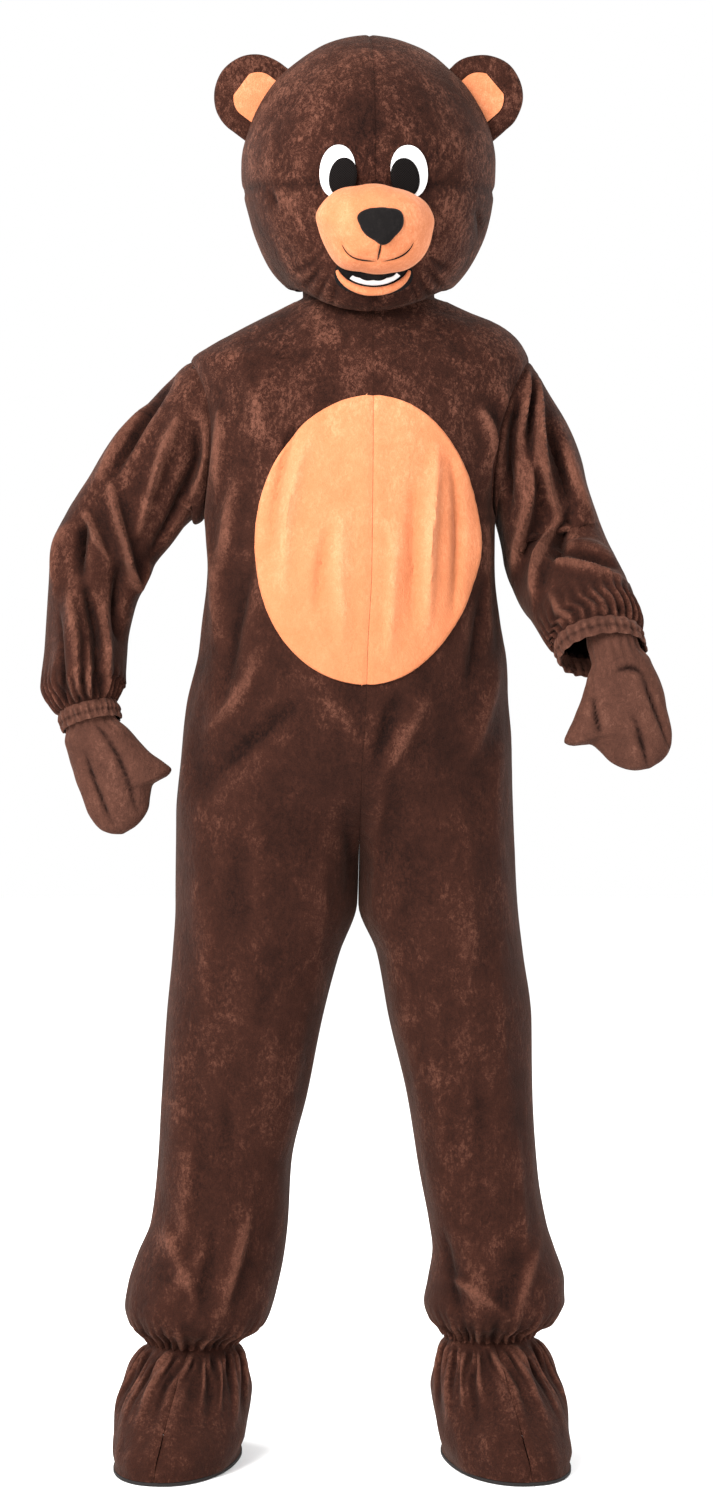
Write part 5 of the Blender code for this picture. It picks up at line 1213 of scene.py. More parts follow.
def make_cuffs():
    for side in SIDES:
        u, v = tube_grid(CUFF_AROUND, np.linspace(-0.0010, CUFF_HEIGHT, 16))
        points = cuff(side)(u, v)
        inside = sleeve_spine(side, np.array(1.0))[0]
        share = v / CUFF_HEIGHT
        drift = 1.5 * noise(points, 0.020, 35)
        fine = 0.0011 * np.cos(2 * math.pi * CUFF_RIBS["casing"] * u + drift)
        frill = 1 + np.cos(2 * math.pi * CUFF_RIBS["frill"] * u + 2 * drift)
        flare = 0.0010 * smooth((share - CUFF_CASING) / (1 - CUFF_CASING)) * frill
        casing = -0.0016 * np.exp(-(((share - CUFF_CASING) / 0.09) ** 2))
        lift = fine * np.sin(math.pi * np.clip(share, 0.03, 0.97)) + flare + casing
        name = f"cuff_{side}"
        # The ruffles and the casing's dip are stored for painted highlights and painted shade.
        piece = shell(name, "brown_mitten", points, inside, CLOTH, closed=True, lift=lift, painted_fold_light=lift)
        finish_piece(piece, [name])


def make_neckband():
    points = neckband(*tube_grid(160, np.linspace(SEAM, 0.022, 12)))
    piece = shell("neckband", "brown_plush", points, place(0.006, 0.005, 1.500), CLOTH, closed=True)
    finish_piece(piece, ["neckband"])


# Mittens

MITTEN_LONG, MITTEN_ACROSS = 92, 60
MITTEN_REACH = 0.1922  # of the grid, from the hidden end of its wrist
MITTEN_SPREAD = {"left": 0.0, "right": 0.12}  # how much wider a mitten is past its wrist
# Columns: how far along the hand and across it a line starts, bends and ends.
FINGER_LINES = {
    "left": (
        (0.016, 0.007, 0.058, 0.024, 0.140, 0.0300),
        (0.048, -0.0155, 0.091, -0.013, 0.146, -0.0050),
    ),
    "right": (
        (0.032, 0.008, 0.033, -0.012, 0.047, -0.0250),
        (0.045, -0.0240, 0.085, -0.0245, 0.146, -0.0290),
        (0.090, 0.0035, 0.124, 0.0040, 0.156, 0.0060),
        (0.050, 0.0440, 0.076, 0.0490, 0.100, 0.0506),
    ),
}
FINGER_LINE_DEPTH = 0.0034
FINGER_LINE_WIDTHS = (0.0018, 0.00576)  # the stitched line, and the soft trough round it


def mitten_grid(side, face, u, v):
    """Points of a mitten's back or palm, u across it and v along it, and how far across they are."""
    wrist, along, thumb, front = hand_frame(side)
    outer, inner, half_thick = MITTEN.at(v)
    spread = 1 + MITTEN_SPREAD[side] * smooth((v - 0.028) / 0.040)
    outer, inner = outer * spread, inner * spread
    angle = math.pi * (1 - u)
    across = (outer + inner) / 2 + (inner - outer) / 2 * np.cos(angle)
    deep = half_thick * np.sin(angle) ** 0.85 * (1 if face == "back" else -1)
    points = wrist + along * v[..., None] + thumb * across[..., None] + front * deep[..., None]
    return points, across


def make_mittens():
    for side in SIDES:
        for face in ("back", "palm"):
            v = MITTEN.low + MITTEN_REACH * (1 - (1 - np.linspace(0, 1, MITTEN_LONG)) ** 1.25)
            even = np.linspace(0.001, 0.999, MITTEN_ACROSS)
            u, v = np.meshgrid(0.35 * (1 - np.cos(math.pi * even)) / 2 + 0.65 * even, v)
            points, across = mitten_grid(side, face, u, v)
            wrist, along = hand_frame(side)[:2]
            inside = wrist + along * v[..., None]
            lift = 0.0010 * noise(points, 0.020, 41)
            if face == "back":
                for width in FINGER_LINE_WIDTHS:
                    table = [(*line, width, -FINGER_LINE_DEPTH, 0.0) for line in FINGER_LINES[side]]
                    lift = lift + crease_depth(table, v, across)
            lift = lift - 0.0022 * np.exp(-((row_distance(points) / 0.004) ** 2))
            wrinkle = 0.0012 * np.exp(-((v / 0.022) ** 2)) * np.cos(2 * math.pi * 9 * u)
            name = f"mitten_{face}_{side}"
            # The finger lines, the sewn edge and the lumps are stored for painted shade in their troughs
            # and painted highlights between them.
            piece = shell(
                name, "brown_mitten", points, inside, MITTEN_CLOTH, lift=lift + wrinkle, painted_fold_light=lift
            )
            finish_piece(piece, [name])


# Shoe covers and soles

COVER_LONG, COVER_AROUND = 78, 112
COVER_RIBS = 2.3 * COVER_PLEATS  # fine gathers between the pleats


def make_covers():
    for side in SIDES:
        for half in ("outer", "inner"):
            v = np.linspace(COVERS[side].high, COVERS[side].low, COVER_LONG)
            u = np.linspace(EDGE_SHARE, 1 - EDGE_SHARE, COVER_AROUND)
            u, v = np.meshgrid(u, v)
            start = 0.0 if half == "outer" else math.pi
            fold = pleat_lift(u, v)
            drift = 0.9 * noise(np.stack([u * 0.3, v, v * 0], axis=-1), 0.05, 51)
            fade = smooth((0.143 - v) / 0.012) * smooth((v - 0.05) / 0.09)
            fine = 0.0024 * fade * np.cos(2 * math.pi * (COVER_RIBS * u + drift))
            crush = np.stack([u * 0.22, v * 0.6, v * 0], axis=-1)
            free = smooth((0.150 - v) / 0.012) * smooth(v / 0.012)
            fine = fine + 0.0045 * noise(crush, 0.024, 53) * free
            angle = start + math.pi * u
            points = cover_ring(side, angle, v, fold)
            inside = place(*ANKLES[side][:2], v)
            free = smooth((v - 0.004) / 0.02) * smooth((0.14 - v) / 0.02)
            lift = fine + soft_waves(points, 61, WAVES["cover"]) * free
            seam = edge_dip(row_distance(points))
            name = f"shoe_cover_{half}_{side}"
            # The pleats and the crushed lumps are stored for painted highlights and painted shade.
            piece = shell(
                name, "brown_plush", points, inside, CLOTH, lift=lift + seam, painted_fold_light=fold + lift
            )
            finish_piece(piece, [name])
        make_sole(side)


# Columns: height, and the ring's size as a share of the cover's foot.
SOLE_ROWS = ((0.0044, 0.0), (0.0044, 1.0), (0.0008, 1.0), (0.0, 0.985), (0.0, 0.0))


def make_sole(side):
    angles = np.linspace(0, 2 * math.pi, 96, endpoint=False)
    rows = []
    for height, share in SOLE_ROWS:
        edge = cover_ring(side, angles, np.full(len(angles), 0.005))
        middle = edge.mean(axis=0)
        row = middle + (edge - middle) * max(share, 0.02)
        row[:, 2] = height - NECK_HEIGHT
        rows.append(row)
    size = len(rows), len(angles)
    name = f"sole_{side}"
    piece = new_mesh(name, np.vstack(rows), [tube_faces(*size), *tube_caps(*size)], "sole_cloth")
    finish_piece(piece, [name])


# Head


HEAD_SIDE = math.radians(96)  # the seam between the face and the back of the head
HEAD_ROUND = 0.16  # usual distance of the head's skin from its upright axis
HEAD_SPAN = 0.18  # and from its middle
# Seams. Columns: depth and width of the dip.
HEAD_SEAMS = {
    "middle": (0.0015, 0.0035),
    "side": (0.0036, 0.0055),
    "cheek": (0.0026, 0.0045),
    "back": (0.0026, 0.0045),
    "rim": (0.0050, 0.0080),
}
PUCKER_GAIN = 1.5


def head_lift(angle, drop, points):
    """Seams, puckers and the softness of the padded head, and the turn of its rim."""
    turn = np.abs(angle)
    level = HEAD_ROUND * np.sin(drop)
    away = {
        "middle": turn * level,
        "side": np.abs(turn - HEAD_SIDE) * level,
        "cheek": np.abs(drop - CHEEK_ANGLE) * HEAD_SPAN + 1.0 * (turn > HEAD_SIDE),
        "back": (turn - math.pi) * level,
        "rim": (RIM_ANGLE - drop) * HEAD_SPAN,
    }
    dips = {name: edge_dip(away[name], *HEAD_SEAMS[name]) for name in away}
    rim = dips.pop("rim")
    height = points[..., 2] + NECK_HEIGHT
    front = smooth(np.cos(angle) * 2.2)
    pucker = PUCKER_GAIN * crease_depth(HEAD_PUCKERS, points[..., 0], height) * front
    wave = 0.0022 * noise(points, 0.060, 71) + 0.0008 * noise(points, 0.026, 72)
    return sum(dips.values()) + pucker + wave, rim


HEAD_PUCKERS = (
    (-0.060, 1.545, -0.075, 1.535, -0.092, 1.530, 0.0045, -0.0030, 0.2),
    (-0.056, 1.535, -0.066, 1.521, -0.080, 1.510, 0.0045, -0.0034, 0.2),
    (-0.048, 1.522, -0.055, 1.508, -0.062, 1.495, 0.0040, -0.0030, 0.2),
    (-0.036, 1.512, -0.040, 1.500, -0.043, 1.488, 0.0040, -0.0026, 0.0),
    (0.078, 1.548, 0.094, 1.538, 0.108, 1.536, 0.0045, -0.0030, 0.2),
    (0.074, 1.536, 0.088, 1.520, 0.100, 1.512, 0.0045, -0.0034, 0.2),
    (0.066, 1.524, 0.075, 1.508, 0.084, 1.498, 0.0040, -0.0030, 0.2),
    (0.056, 1.513, 0.062, 1.500, 0.066, 1.488, 0.0040, -0.0026, 0.0),
    (-0.125, 1.635, -0.116, 1.622, -0.112, 1.610, 0.0050, -0.0030, 0.3),
    (0.140, 1.610, 0.148, 1.595, 0.144, 1.580, 0.0050, -0.0034, 0.3),
    (0.000, 1.500, 0.010, 1.492, 0.012, 1.482, 0.0050, -0.0030, 0.0),
)


HEAD_ACROSS = 84
HEAD_ROWS = 56  # for each radian of drop
HEAD_EDGE = 0.0009  # radians that a panel stops short of its seams


def make_head():
    panels = {
        "forehead_left": (-HEAD_SIDE, 0.0, 0.0, CHEEK_ANGLE),
        "forehead_right": (0.0, HEAD_SIDE, 0.0, CHEEK_ANGLE),
        "cheek_left": (-HEAD_SIDE, 0.0, CHEEK_ANGLE, RIM_ANGLE),
        "cheek_right": (0.0, HEAD_SIDE, CHEEK_ANGLE, RIM_ANGLE),
        "head_back_left": (-math.pi, -HEAD_SIDE, 0.0, RIM_ANGLE),
        "head_back_right": (HEAD_SIDE, math.pi, 0.0, RIM_ANGLE),
    }
    centre = place(HEAD_X, HEAD_Y, HEAD_HEIGHT)
    for name, (start, end, top, foot) in panels.items():
        rows = max(30, int((foot - top) * HEAD_ROWS))
        angle = np.linspace(start + HEAD_EDGE, end - HEAD_EDGE, HEAD_ACROSS)
        angle, drop = np.meshgrid(angle, np.linspace(max(top, 0.004), foot, rows))
        points = head(angle, drop)
        out = unit(points - centre)
        lift, turned = head_lift(angle, drop, points)
        points = points + out * (lift + turned)[..., None]
        inner = points - unit(points - centre) * HEAD_WALL
        # The seams, puckers and soft waves are stored unsmoothed for painted shade in seams and puckers
        # and painted highlights on the swells.
        piece = wall(name, "brown_plush", points, inner, False, lift)
        finish_piece(piece, [name])


# Face pieces

FLAT_PIECES = {
    "eye_white_left": ("white_felt", (-0.0356, 1.6490, 0.0220, 0.0325, 2.1, 0.0008, 4)),
    "eye_white_right": ("white_felt", (0.0536, 1.6490, 0.0230, 0.0325, 2.1, 0.0008, -4)),
    "eye_mesh_left": ("black_mesh", (-0.0285, 1.6415, 0.0170, 0.0240, 2.1, 0.0026, 8)),
    "eye_mesh_right": ("black_mesh", (0.0480, 1.6413, 0.0176, 0.0240, 2.1, 0.0026, -8)),
    "mouth_lining": ("black_plush", (0.0095, 1.5240, 0.0490, 0.0250, 2.2, 0.0006, 0)),
}


def disc(name, slot, outer, inner, around, painted_fold_light=None):
    """A solid between two sheets that each start at a middle point and widen ring by ring."""
    count = len(outer)
    rings = (count - 1) // around
    k = np.arange(around)
    after = (k + 1) % around
    fans = [np.stack([0 * k, 1 + k, 1 + after], axis=-1)]
    fans.append(np.stack([0 * k, 1 + after, 1 + k], axis=-1) + count)
    quads = []
    for row in range(rings - 1):
        a, b = 1 + row * around + k, 1 + row * around + after
        quads.append(np.stack([a, a + around, b + around, b], axis=-1))
        quads.append(np.stack([a, b, b + around, a + around], axis=-1) + count)
    a, b = 1 + (rings - 1) * around + k, 1 + (rings - 1) * around + after
    quads.append(np.stack([a, a + count, b + count, b], axis=-1))
    points = np.vstack([outer, inner])
    painted_fold_light = np.zeros(2 * count) if painted_fold_light is None else np.concatenate([painted_fold_light, painted_fold_light])
    return new_mesh(name, points, [*fans, *quads], slot, painted_fold_light, points[:, [0, 2]])


def oval(sides, rings, fullness):
    """Points of an oval of half size 1: its middle, then ring by ring."""
    places = [(0.0, 0.0)]
    for share in rings:
        for k in range(sides):
            angle = 2 * math.pi * k / sides
            across = power(math.cos(angle), 2 / fullness) * share
            places.append((across, power(math.sin(angle), 2 / fullness) * share))
    return np.array(places).T


def make_flat_pieces():
    sides, rings = 64, (0.2, 0.4, 0.6, 0.76, 0.88, 0.95, 0.985, 1.0)
    for name, (slot, numbers) in FLAT_PIECES.items():
        x, height, half_width, half_height, fullness, lift, lean = numbers
        wide, tall = oval(sides, rings, fullness)
        share = np.hypot(wide, tall)
        wide, tall = wide * half_width, tall * half_height
        turn = math.radians(lean)
        across = wide * math.cos(turn) + tall * math.sin(turn)
        rise = tall * math.cos(turn) - wide * math.sin(turn)
        point, normal = on_face(x + across, height + rise)
        edge = np.where(share > 0.93, 0.35, 1.0)
        outer = point + normal * (lift + FELT * edge)[..., None]
        inner = point + normal * (lift - 0.0030)
        piece = disc(name, slot, outer, inner, sides)
        finish_piece(piece, [name])


MUZZLE = {"x": 0.0100, "height": 1.5760, "out": 0.0600}
MUZZLE_BASE = 0.0045  # it rides over the edges of the eyes and the mouth lining
OUTLINE_COLUMNS = ("turn", "reach")  # degrees from the viewer's right over the top, and metres
MUZZLE_OUTLINE = Sections(
    OUTLINE_COLUMNS,
    (
        (0, 0.0693),
        (15, 0.0735),
        (28, 0.0719),
        (46, 0.0646),
        (72, 0.0568),
        (106, 0.0575),
        (133, 0.0674),
        (147, 0.0711),
        (162, 0.0738),
        (177, 0.0675),
        (199, 0.0614),
        (224, 0.0590),
        (255, 0.0504),
        (289, 0.0524),
        (310, 0.0586),
        (332, 0.0644),
        (360, 0.0693),
    ),
)
NOSE = {"x": 0.0034, "rise": 0.0085, "out": 0.0100}  # its middle, from the muzzle's
NOSE_OUTLINE = Sections(
    OUTLINE_COLUMNS,
    (
        (0, 0.0245),
        (28, 0.0262),
        (67, 0.0190),
        (98, 0.0180),
        (130, 0.0212),
        (160, 0.0256),
        (187, 0.0214),
        (245, 0.0190),
        (280, 0.0236),
        (318, 0.0206),
        (360, 0.0245),
    ),
)


def outline_reach(outline, across, rise):
    """How far an outline lies from its middle in a direction."""
    (reach,) = outline.at(np.degrees(np.arctan2(rise, across)) % 360)
    return reach


def muzzle_base(across, rise):
    """The face behind a place of the muzzle, given from its middle."""
    return on_face(MUZZLE["x"] + across, MUZZLE["height"] + rise)


def muzzle_point(across, rise):
    """The muzzle's skin over a place, given from its middle."""
    share = np.clip(np.hypot(across, rise) / outline_reach(MUZZLE_OUTLINE, across, rise), 0, 1)
    dome = (1 - share**2.8) ** 0.52
    base, normal = muzzle_base(across, rise)
    level = unit(np.broadcast_to([0.06, -1.0, -0.04], base.shape))
    lean = unit(normal * 0.35 + level * 0.65)
    return base + normal * MUZZLE_BASE + lean * (MUZZLE["out"] * dome)[..., None]


def muzzle_normal(across, rise):
    """The way out of the muzzle's skin."""
    step = 0.0006
    slope_x = muzzle_point(across + step, rise) - muzzle_point(across - step, rise)
    slope_z = muzzle_point(across, rise + step) - muzzle_point(across, rise - step)
    normal = unit(np.cross(slope_x, slope_z))
    return normal * np.sign(-normal[..., 1:2])


SMILE = (  # stitched lines, from the muzzle's middle: start, bend and end, in metres
    (-0.0395, -0.0080, -0.0270, -0.0290, 0.0005, -0.0340),
    (0.0415, -0.0080, 0.0290, -0.0270, 0.0025, -0.0345),
    (0.0045, -0.0120, 0.0030, -0.0230, 0.0010, -0.0330),
)


def smile_depth(across, rise):
    return crease_depth([(*line, 0.0022, -1.0, 0.0) for line in SMILE], across, rise)


def make_muzzle():
    sides = 132
    across, rise = oval(sides, 1 - (1 - np.linspace(0, 1, 60)[1:]) ** 1.8, 2.0)
    share = np.hypot(across, rise)
    reach = outline_reach(MUZZLE_OUTLINE, across, rise)
    across, rise = across * reach, rise * reach
    outer = muzzle_point(across, rise)
    base, normal = muzzle_base(across, rise)
    inner = base + normal * (MUZZLE_BASE - 0.0030)
    dent = smile_depth(across, rise)
    skin_normal = muzzle_normal(across * 0.985, rise * 0.985)
    out = np.where(share[..., None] < 0.985, skin_normal, normal)
    soft = 0.0013 * noise(outer, 0.024, 81) * smooth((1 - share) / 0.1)
    skin = outer + out * (0.0024 * dent + soft)[..., None]
    skin[-sides:] = base[-sides:] + normal[-sides:] * MUZZLE_BASE
    # The smile's grooves and the soft lumps are stored for painted shade along the grooves and painted
    # highlights on the lumps.
    piece = disc("muzzle", "tan_plush", skin, inner, sides, 0.006 * dent + soft)
    finish_piece(piece, ["muzzle"])

    sides = 72
    across, rise = oval(sides, 1 - (1 - np.linspace(0, 1, 24)[1:]) ** 1.8, 2.0)
    share = np.clip(np.hypot(across, rise), 0, 1)
    reach = outline_reach(NOSE_OUTLINE, across, rise)
    across, rise = NOSE["x"] + across * reach, NOSE["rise"] + rise * reach
    skin, normal = muzzle_point(across, rise), muzzle_normal(across, rise)
    puff = 0.0006 + NOSE["out"] * (1 - share**3) ** 0.6
    inner = skin - normal * 0.0020
    outer = skin + normal * (puff + 0.0008 * noise(skin, 0.012, 83) * (1 - share))[..., None]
    piece = disc("nose", "black_plush", outer, inner, sides)
    finish_piece(piece, ["nose"])
    make_smile_thread()


def make_smile_thread():
    """The smile's stitched thread, laid in its groove."""
    points, faces, count, sides = [], [], 48, 8
    for number, line in enumerate(SMILE):
        t = np.linspace(0, 1, count)
        start, bend, end = np.array(line).reshape(3, 2)
        bend = 2 * bend - (start + end) / 2
        line = np.outer((1 - t) ** 2, start) + np.outer(2 * t * (1 - t), bend) + np.outer(t**2, end)
        across, rise = line.T
        middle = muzzle_point(across, rise) - muzzle_normal(across, rise) * 0.0017
        radius = 0.0009 * (0.5 + 0.5 * np.sin(math.pi * t) ** 0.5)
        side = unit(np.cross(unit(np.gradient(middle, axis=0)), [0.0, 1.0, 0.0]))
        over = np.cross(side, unit(np.gradient(middle, axis=0)))
        points.append(tube_points(middle, side, over, radius, sides))
        faces.append(tube_faces(count, sides, number * count * sides))
    piece = new_mesh("smile_thread", np.vstack(points), faces, "black_plush")
    finish_piece(piece, [])


MOUTH = {"x": 0.0090, "height": 1.5400, "half_width": 0.0462, "drop": 0.0340}
LIP_END = 73  # degrees from its foot at which the lip runs out
LIP_THICK = 0.0056
LIP_SQUASH = 0.9
TEETH = {"start": -45, "end": 54, "inset": 0.0084, "half_height": 0.0032, "lift": 0.0026}


def mouth_point(degrees, inset=0.0):
    """A point of the face on the mouth's curve, 0 at its foot, and the way towards its middle."""
    turn = np.radians(degrees)
    across, drop = MOUTH["half_width"] - inset, MOUTH["drop"] - inset
    x = MOUTH["x"] + across * np.sin(turn)
    height = MOUTH["height"] - drop * np.cos(turn)
    point, normal = on_face(x, height)
    inward = unit(np.stack([-np.sin(turn) / across, 0 * turn, np.cos(turn) / drop], axis=-1))
    inward = unit(inward - normal * np.sum(inward * normal, axis=-1, keepdims=True))
    return point, normal, inward


def make_mouth():
    steps, sides = 80, 24
    turns = np.linspace(-LIP_END, LIP_END, steps)
    point, normal, inward = mouth_point(turns)
    taper = np.clip(np.cos(np.radians(turns / LIP_END * 90)), 0, 1) ** 0.6
    radius = LIP_THICK * (0.30 + 0.70 * taper) * (1 + 0.06 * noise(point, 0.014, 85))
    middle = point + normal * (0.0025 + radius * LIP_SQUASH)[:, None]
    rings = tube_points(middle, inward, normal, radius, sides, LIP_SQUASH)
    faces = [tube_faces(steps, sides), *tube_caps(steps, sides)]
    piece = new_mesh("lower_lip", rings, faces, "tan_plush")
    finish_piece(piece, ["lower_lip"])

    turns = np.linspace(TEETH["start"], TEETH["end"], 60)
    grid = []
    for side in np.linspace(-1, 1, 9):
        scallop = 0.0012 * np.abs(np.sin(turns * 0.11)) * max(side, 0)
        point, normal, _ = mouth_point(turns, TEETH["inset"] + side * TEETH["half_height"] - scallop)
        grid.append(point + normal * (TEETH["lift"] + FELT * (1 - 0.6 * side**4)))
    grid = np.array(grid)
    piece = shell("teeth", "white_felt", grid, place(HEAD_X, HEAD_Y, 1.6), 0.0018)
    finish_piece(piece, ["teeth"])


# Ears

EARS = {
    "left": (-0.1420, -0.0250, 1.7620, -0.80, 0.60, 0.0535),
    "right": (0.1490, -0.0180, 1.7630, 0.76, 0.65, 0.0535),
}
EAR_HALF_DEPTH = 0.0150
EAR_LINING = {"share": 0.37, "rim": 0.41, "fade": 0.50}


def ear_frame(side):
    """The ear's middle, the way out of the head, the way across and the ear's radius."""
    x, y, height, out_x, out_height, radius = EARS[side]
    out = unit(np.array([out_x, 0.0, out_height]))
    across = np.array([out[2], 0.0, -out[0]])
    return place(x, y, height), out, across, radius


def ear_point(side, turn, step, lift=0.0):
    """The ear's skin at a turn round it and a step from its middle to its rim (1)."""
    middle, out, across, radius = ear_frame(side)
    turn, step = np.broadcast_arrays(turn, step)
    round_share = np.sqrt(np.clip(1 - step**2, 0, 1))
    wide = radius * round_share + lift
    deep = EAR_HALF_DEPTH * round_share**0.7 + lift
    front = np.clip(-np.sin(turn), 0, 1)
    dish = 0.0050 * front * np.clip(1 - (step / 0.75) ** 2, 0, 1) * (1 - np.abs(np.cos(turn)) ** 2)
    deep = deep - dish
    return (
        middle
        + out * (radius * step)[..., None]
        + across * (np.cos(turn) * wide)[..., None]
        + np.array([0.0, 1.0, 0.0]) * (np.sin(turn) * deep)[..., None]
    )


def make_ears():
    sides = 96
    for side in SIDES:
        middle, out, _, _ = ear_frame(side)
        turn = 2 * math.pi * np.arange(sides) / sides
        steps = np.sin(np.linspace(math.asin(-0.05), math.pi / 2 * 0.995, 30))
        rows = [ear_point(side, turn, np.full(sides, step)) for step in steps]
        root = meet_head(rows[0], -out, 0.12) - out * 0.0020
        between = [root + (rows[0] - root) * share for share in (0.0, 0.33, 0.66)]
        grid = np.array([*between, *rows])
        lift = 0.0008 * noise(grid, 0.020, 91)
        lift[:3] = 0
        grid = grid + grid_normals(grid, True, middle) * lift[..., None]
        faces = [tube_faces(len(grid), sides), *tube_caps(len(grid), sides)]
        name = f"ear_{side}"
        piece = new_mesh(name, grid.reshape(-1, 3), faces, "brown_plush")
        finish_piece(piece, [name])

        spread = math.pi * EAR_LINING["share"] / 2
        lining = []
        for step in EAR_LINING["rim"] * np.sin(np.linspace(0, math.pi / 2, 22)):
            narrow = math.sqrt(max(0.0, 1 - (step / EAR_LINING["fade"]) ** 2))
            turns = -math.pi / 2 + spread * narrow * np.linspace(-1, 1, 40)
            lining.append(ear_point(side, turns, np.full(40, step), 0.0008 + FELT))
        root = meet_head(lining[0], -out, 0.12)
        lining = [root, (root + lining[0]) / 2, *lining]
        grid = np.array(lining)
        name = f"ear_lining_{side}"
        piece = shell(name, "tan_plush", grid, middle + np.array([0.0, 0.02, 0.0]), 0.0030)
        finish_piece(piece, [name])


# Materials


class Socket:
    """A shader socket that adds and multiplies like a number."""

    def __init__(self, paint, output):
        self.paint, self.output = paint, output

    def math(self, operation, *others):
        return self.paint.node(
            "ShaderNodeMath", settings={"operation": operation}, inputs=dict(enumerate((self, *others)))
        )

    def __add__(self, other):
        return self.math("ADD", other)

    def __sub__(self, other):
        return self.math("SUBTRACT", other)

    def __rsub__(self, other):
        return (self * -1.0) + other

    def __mul__(self, other):
        return self.math("MULTIPLY", other)

    __radd__ = __add__
    __rmul__ = __mul__

    def limited(self, low=0.0, high=1.0):
        return self.math("MAXIMUM", low).math("MINIMUM", high)

    def ramp(self, low, high):
        """0 at low and 1 at high, smooth between."""
        return self.paint.node(
            "ShaderNodeMapRange",
            settings={"interpolation_type": "SMOOTHSTEP"},
            inputs={"Value": self, "From Min": low, "From Max": high},
        )


class Paint:
    """A material's node tree."""

    def __init__(self, name):
        self.material = bpy.data.materials.new(name)
        self.material.use_nodes = True
        self.tree = self.material.node_tree
        self.tree.nodes.clear()

    def node(self, kind, settings=None, inputs=None, output=0):
        """Adds a node: its settings first, then its values and links."""
        made = self.tree.nodes.new(kind)
        for name, value in (settings or {}).items():
            setattr(made, name, value)
        for key, value in (inputs or {}).items():
            if isinstance(value, Socket):
                self.tree.links.new(value.output, made.inputs[key])
            else:
                made.inputs[key].default_value = value
        return Socket(self, made.outputs[output]) if made.outputs else None

    def place(self, stretch=(1.0, 1.0, 1.0)):
        """Object coordinates, squeezed by stretch."""
        coordinates = self.node("ShaderNodeTexCoord", output="Object")
        return self.node(
            "ShaderNodeVectorMath", {"operation": "MULTIPLY"}, {0: coordinates, 1: stretch}
        )

    def noise(self, scale, detail=2.0, rough=0.5, stretch=(1.0, 1.0, 1.0), bend=0.0):
        return self.node(
            "ShaderNodeTexNoise",
            inputs={
                "Vector": self.place(stretch),
                "Scale": scale,
                "Detail": detail,
                "Roughness": rough,
                "Distortion": bend,
            },
        )

    def mix(self, share, first, second):
        """From one colour to another."""
        return self.node(
            "ShaderNodeMix",
            {"data_type": "RGBA"},
            {0: share, 6: first, 7: second},
            output=2,
        )

    def bump(self, height, distance, strength=1.0, normal=None):
        inputs = {"Height": height, "Distance": distance, "Strength": strength}
        if normal is not None:
            inputs["Normal"] = normal
        return self.node("ShaderNodeBump", inputs=inputs)

    def finish(self, constants, **varying):
        """The shader, with its constants and its varying inputs, and the output."""
        shader = self.node(
            "ShaderNodeBsdfPrincipled",
            inputs={**constants, **{name.replace("_", " "): value for name, value in varying.items()}},
        )
        self.node("ShaderNodeOutputMaterial", inputs={"Surface": shader})
        return self.material


def colour(red, green, blue):
    return (red, green, blue, 1.0)


# Columns: darkest colour (dark nap, and painted shade in troughs), middle colour, palest colour (pale
# nap, and painted highlights on ridges), mottle, weight of the painted highlights and shade of the
# relief, pile, sheen, its colour.
PLUSHES = {
    "brown_plush": (
        colour(0.0050, 0.0016, 0.0011),
        colour(0.0280, 0.0090, 0.0055),
        colour(0.1150, 0.0450, 0.0290),
        1.0,
        0.55,
        0.0018,
        0.06,
        colour(0.80, 0.50, 0.38),
    ),
    "brown_mitten": (
        colour(0.0160, 0.0062, 0.0044),
        colour(0.0640, 0.0255, 0.0170),
        colour(0.1750, 0.0800, 0.0550),
        0.85,
        0.75,
        0.0018,
        0.08,
        colour(0.85, 0.56, 0.44),
    ),
    "tan_plush": (
        colour(0.300, 0.0820, 0.0260),
        colour(0.470, 0.1600, 0.0720),
        colour(0.640, 0.2900, 0.1560),
        0.50,
        0.22,
        0.0012,
        0.15,
        colour(1.0, 0.80, 0.64),
    ),
    "black_plush": (
        colour(0.0020, 0.0018, 0.0018),
        colour(0.0060, 0.0050, 0.0050),
        colour(0.0200, 0.0170, 0.0160),
        0.40,
        0.30,
        0.0008,
        0.08,
        colour(0.80, 0.75, 0.75),
    ),
}


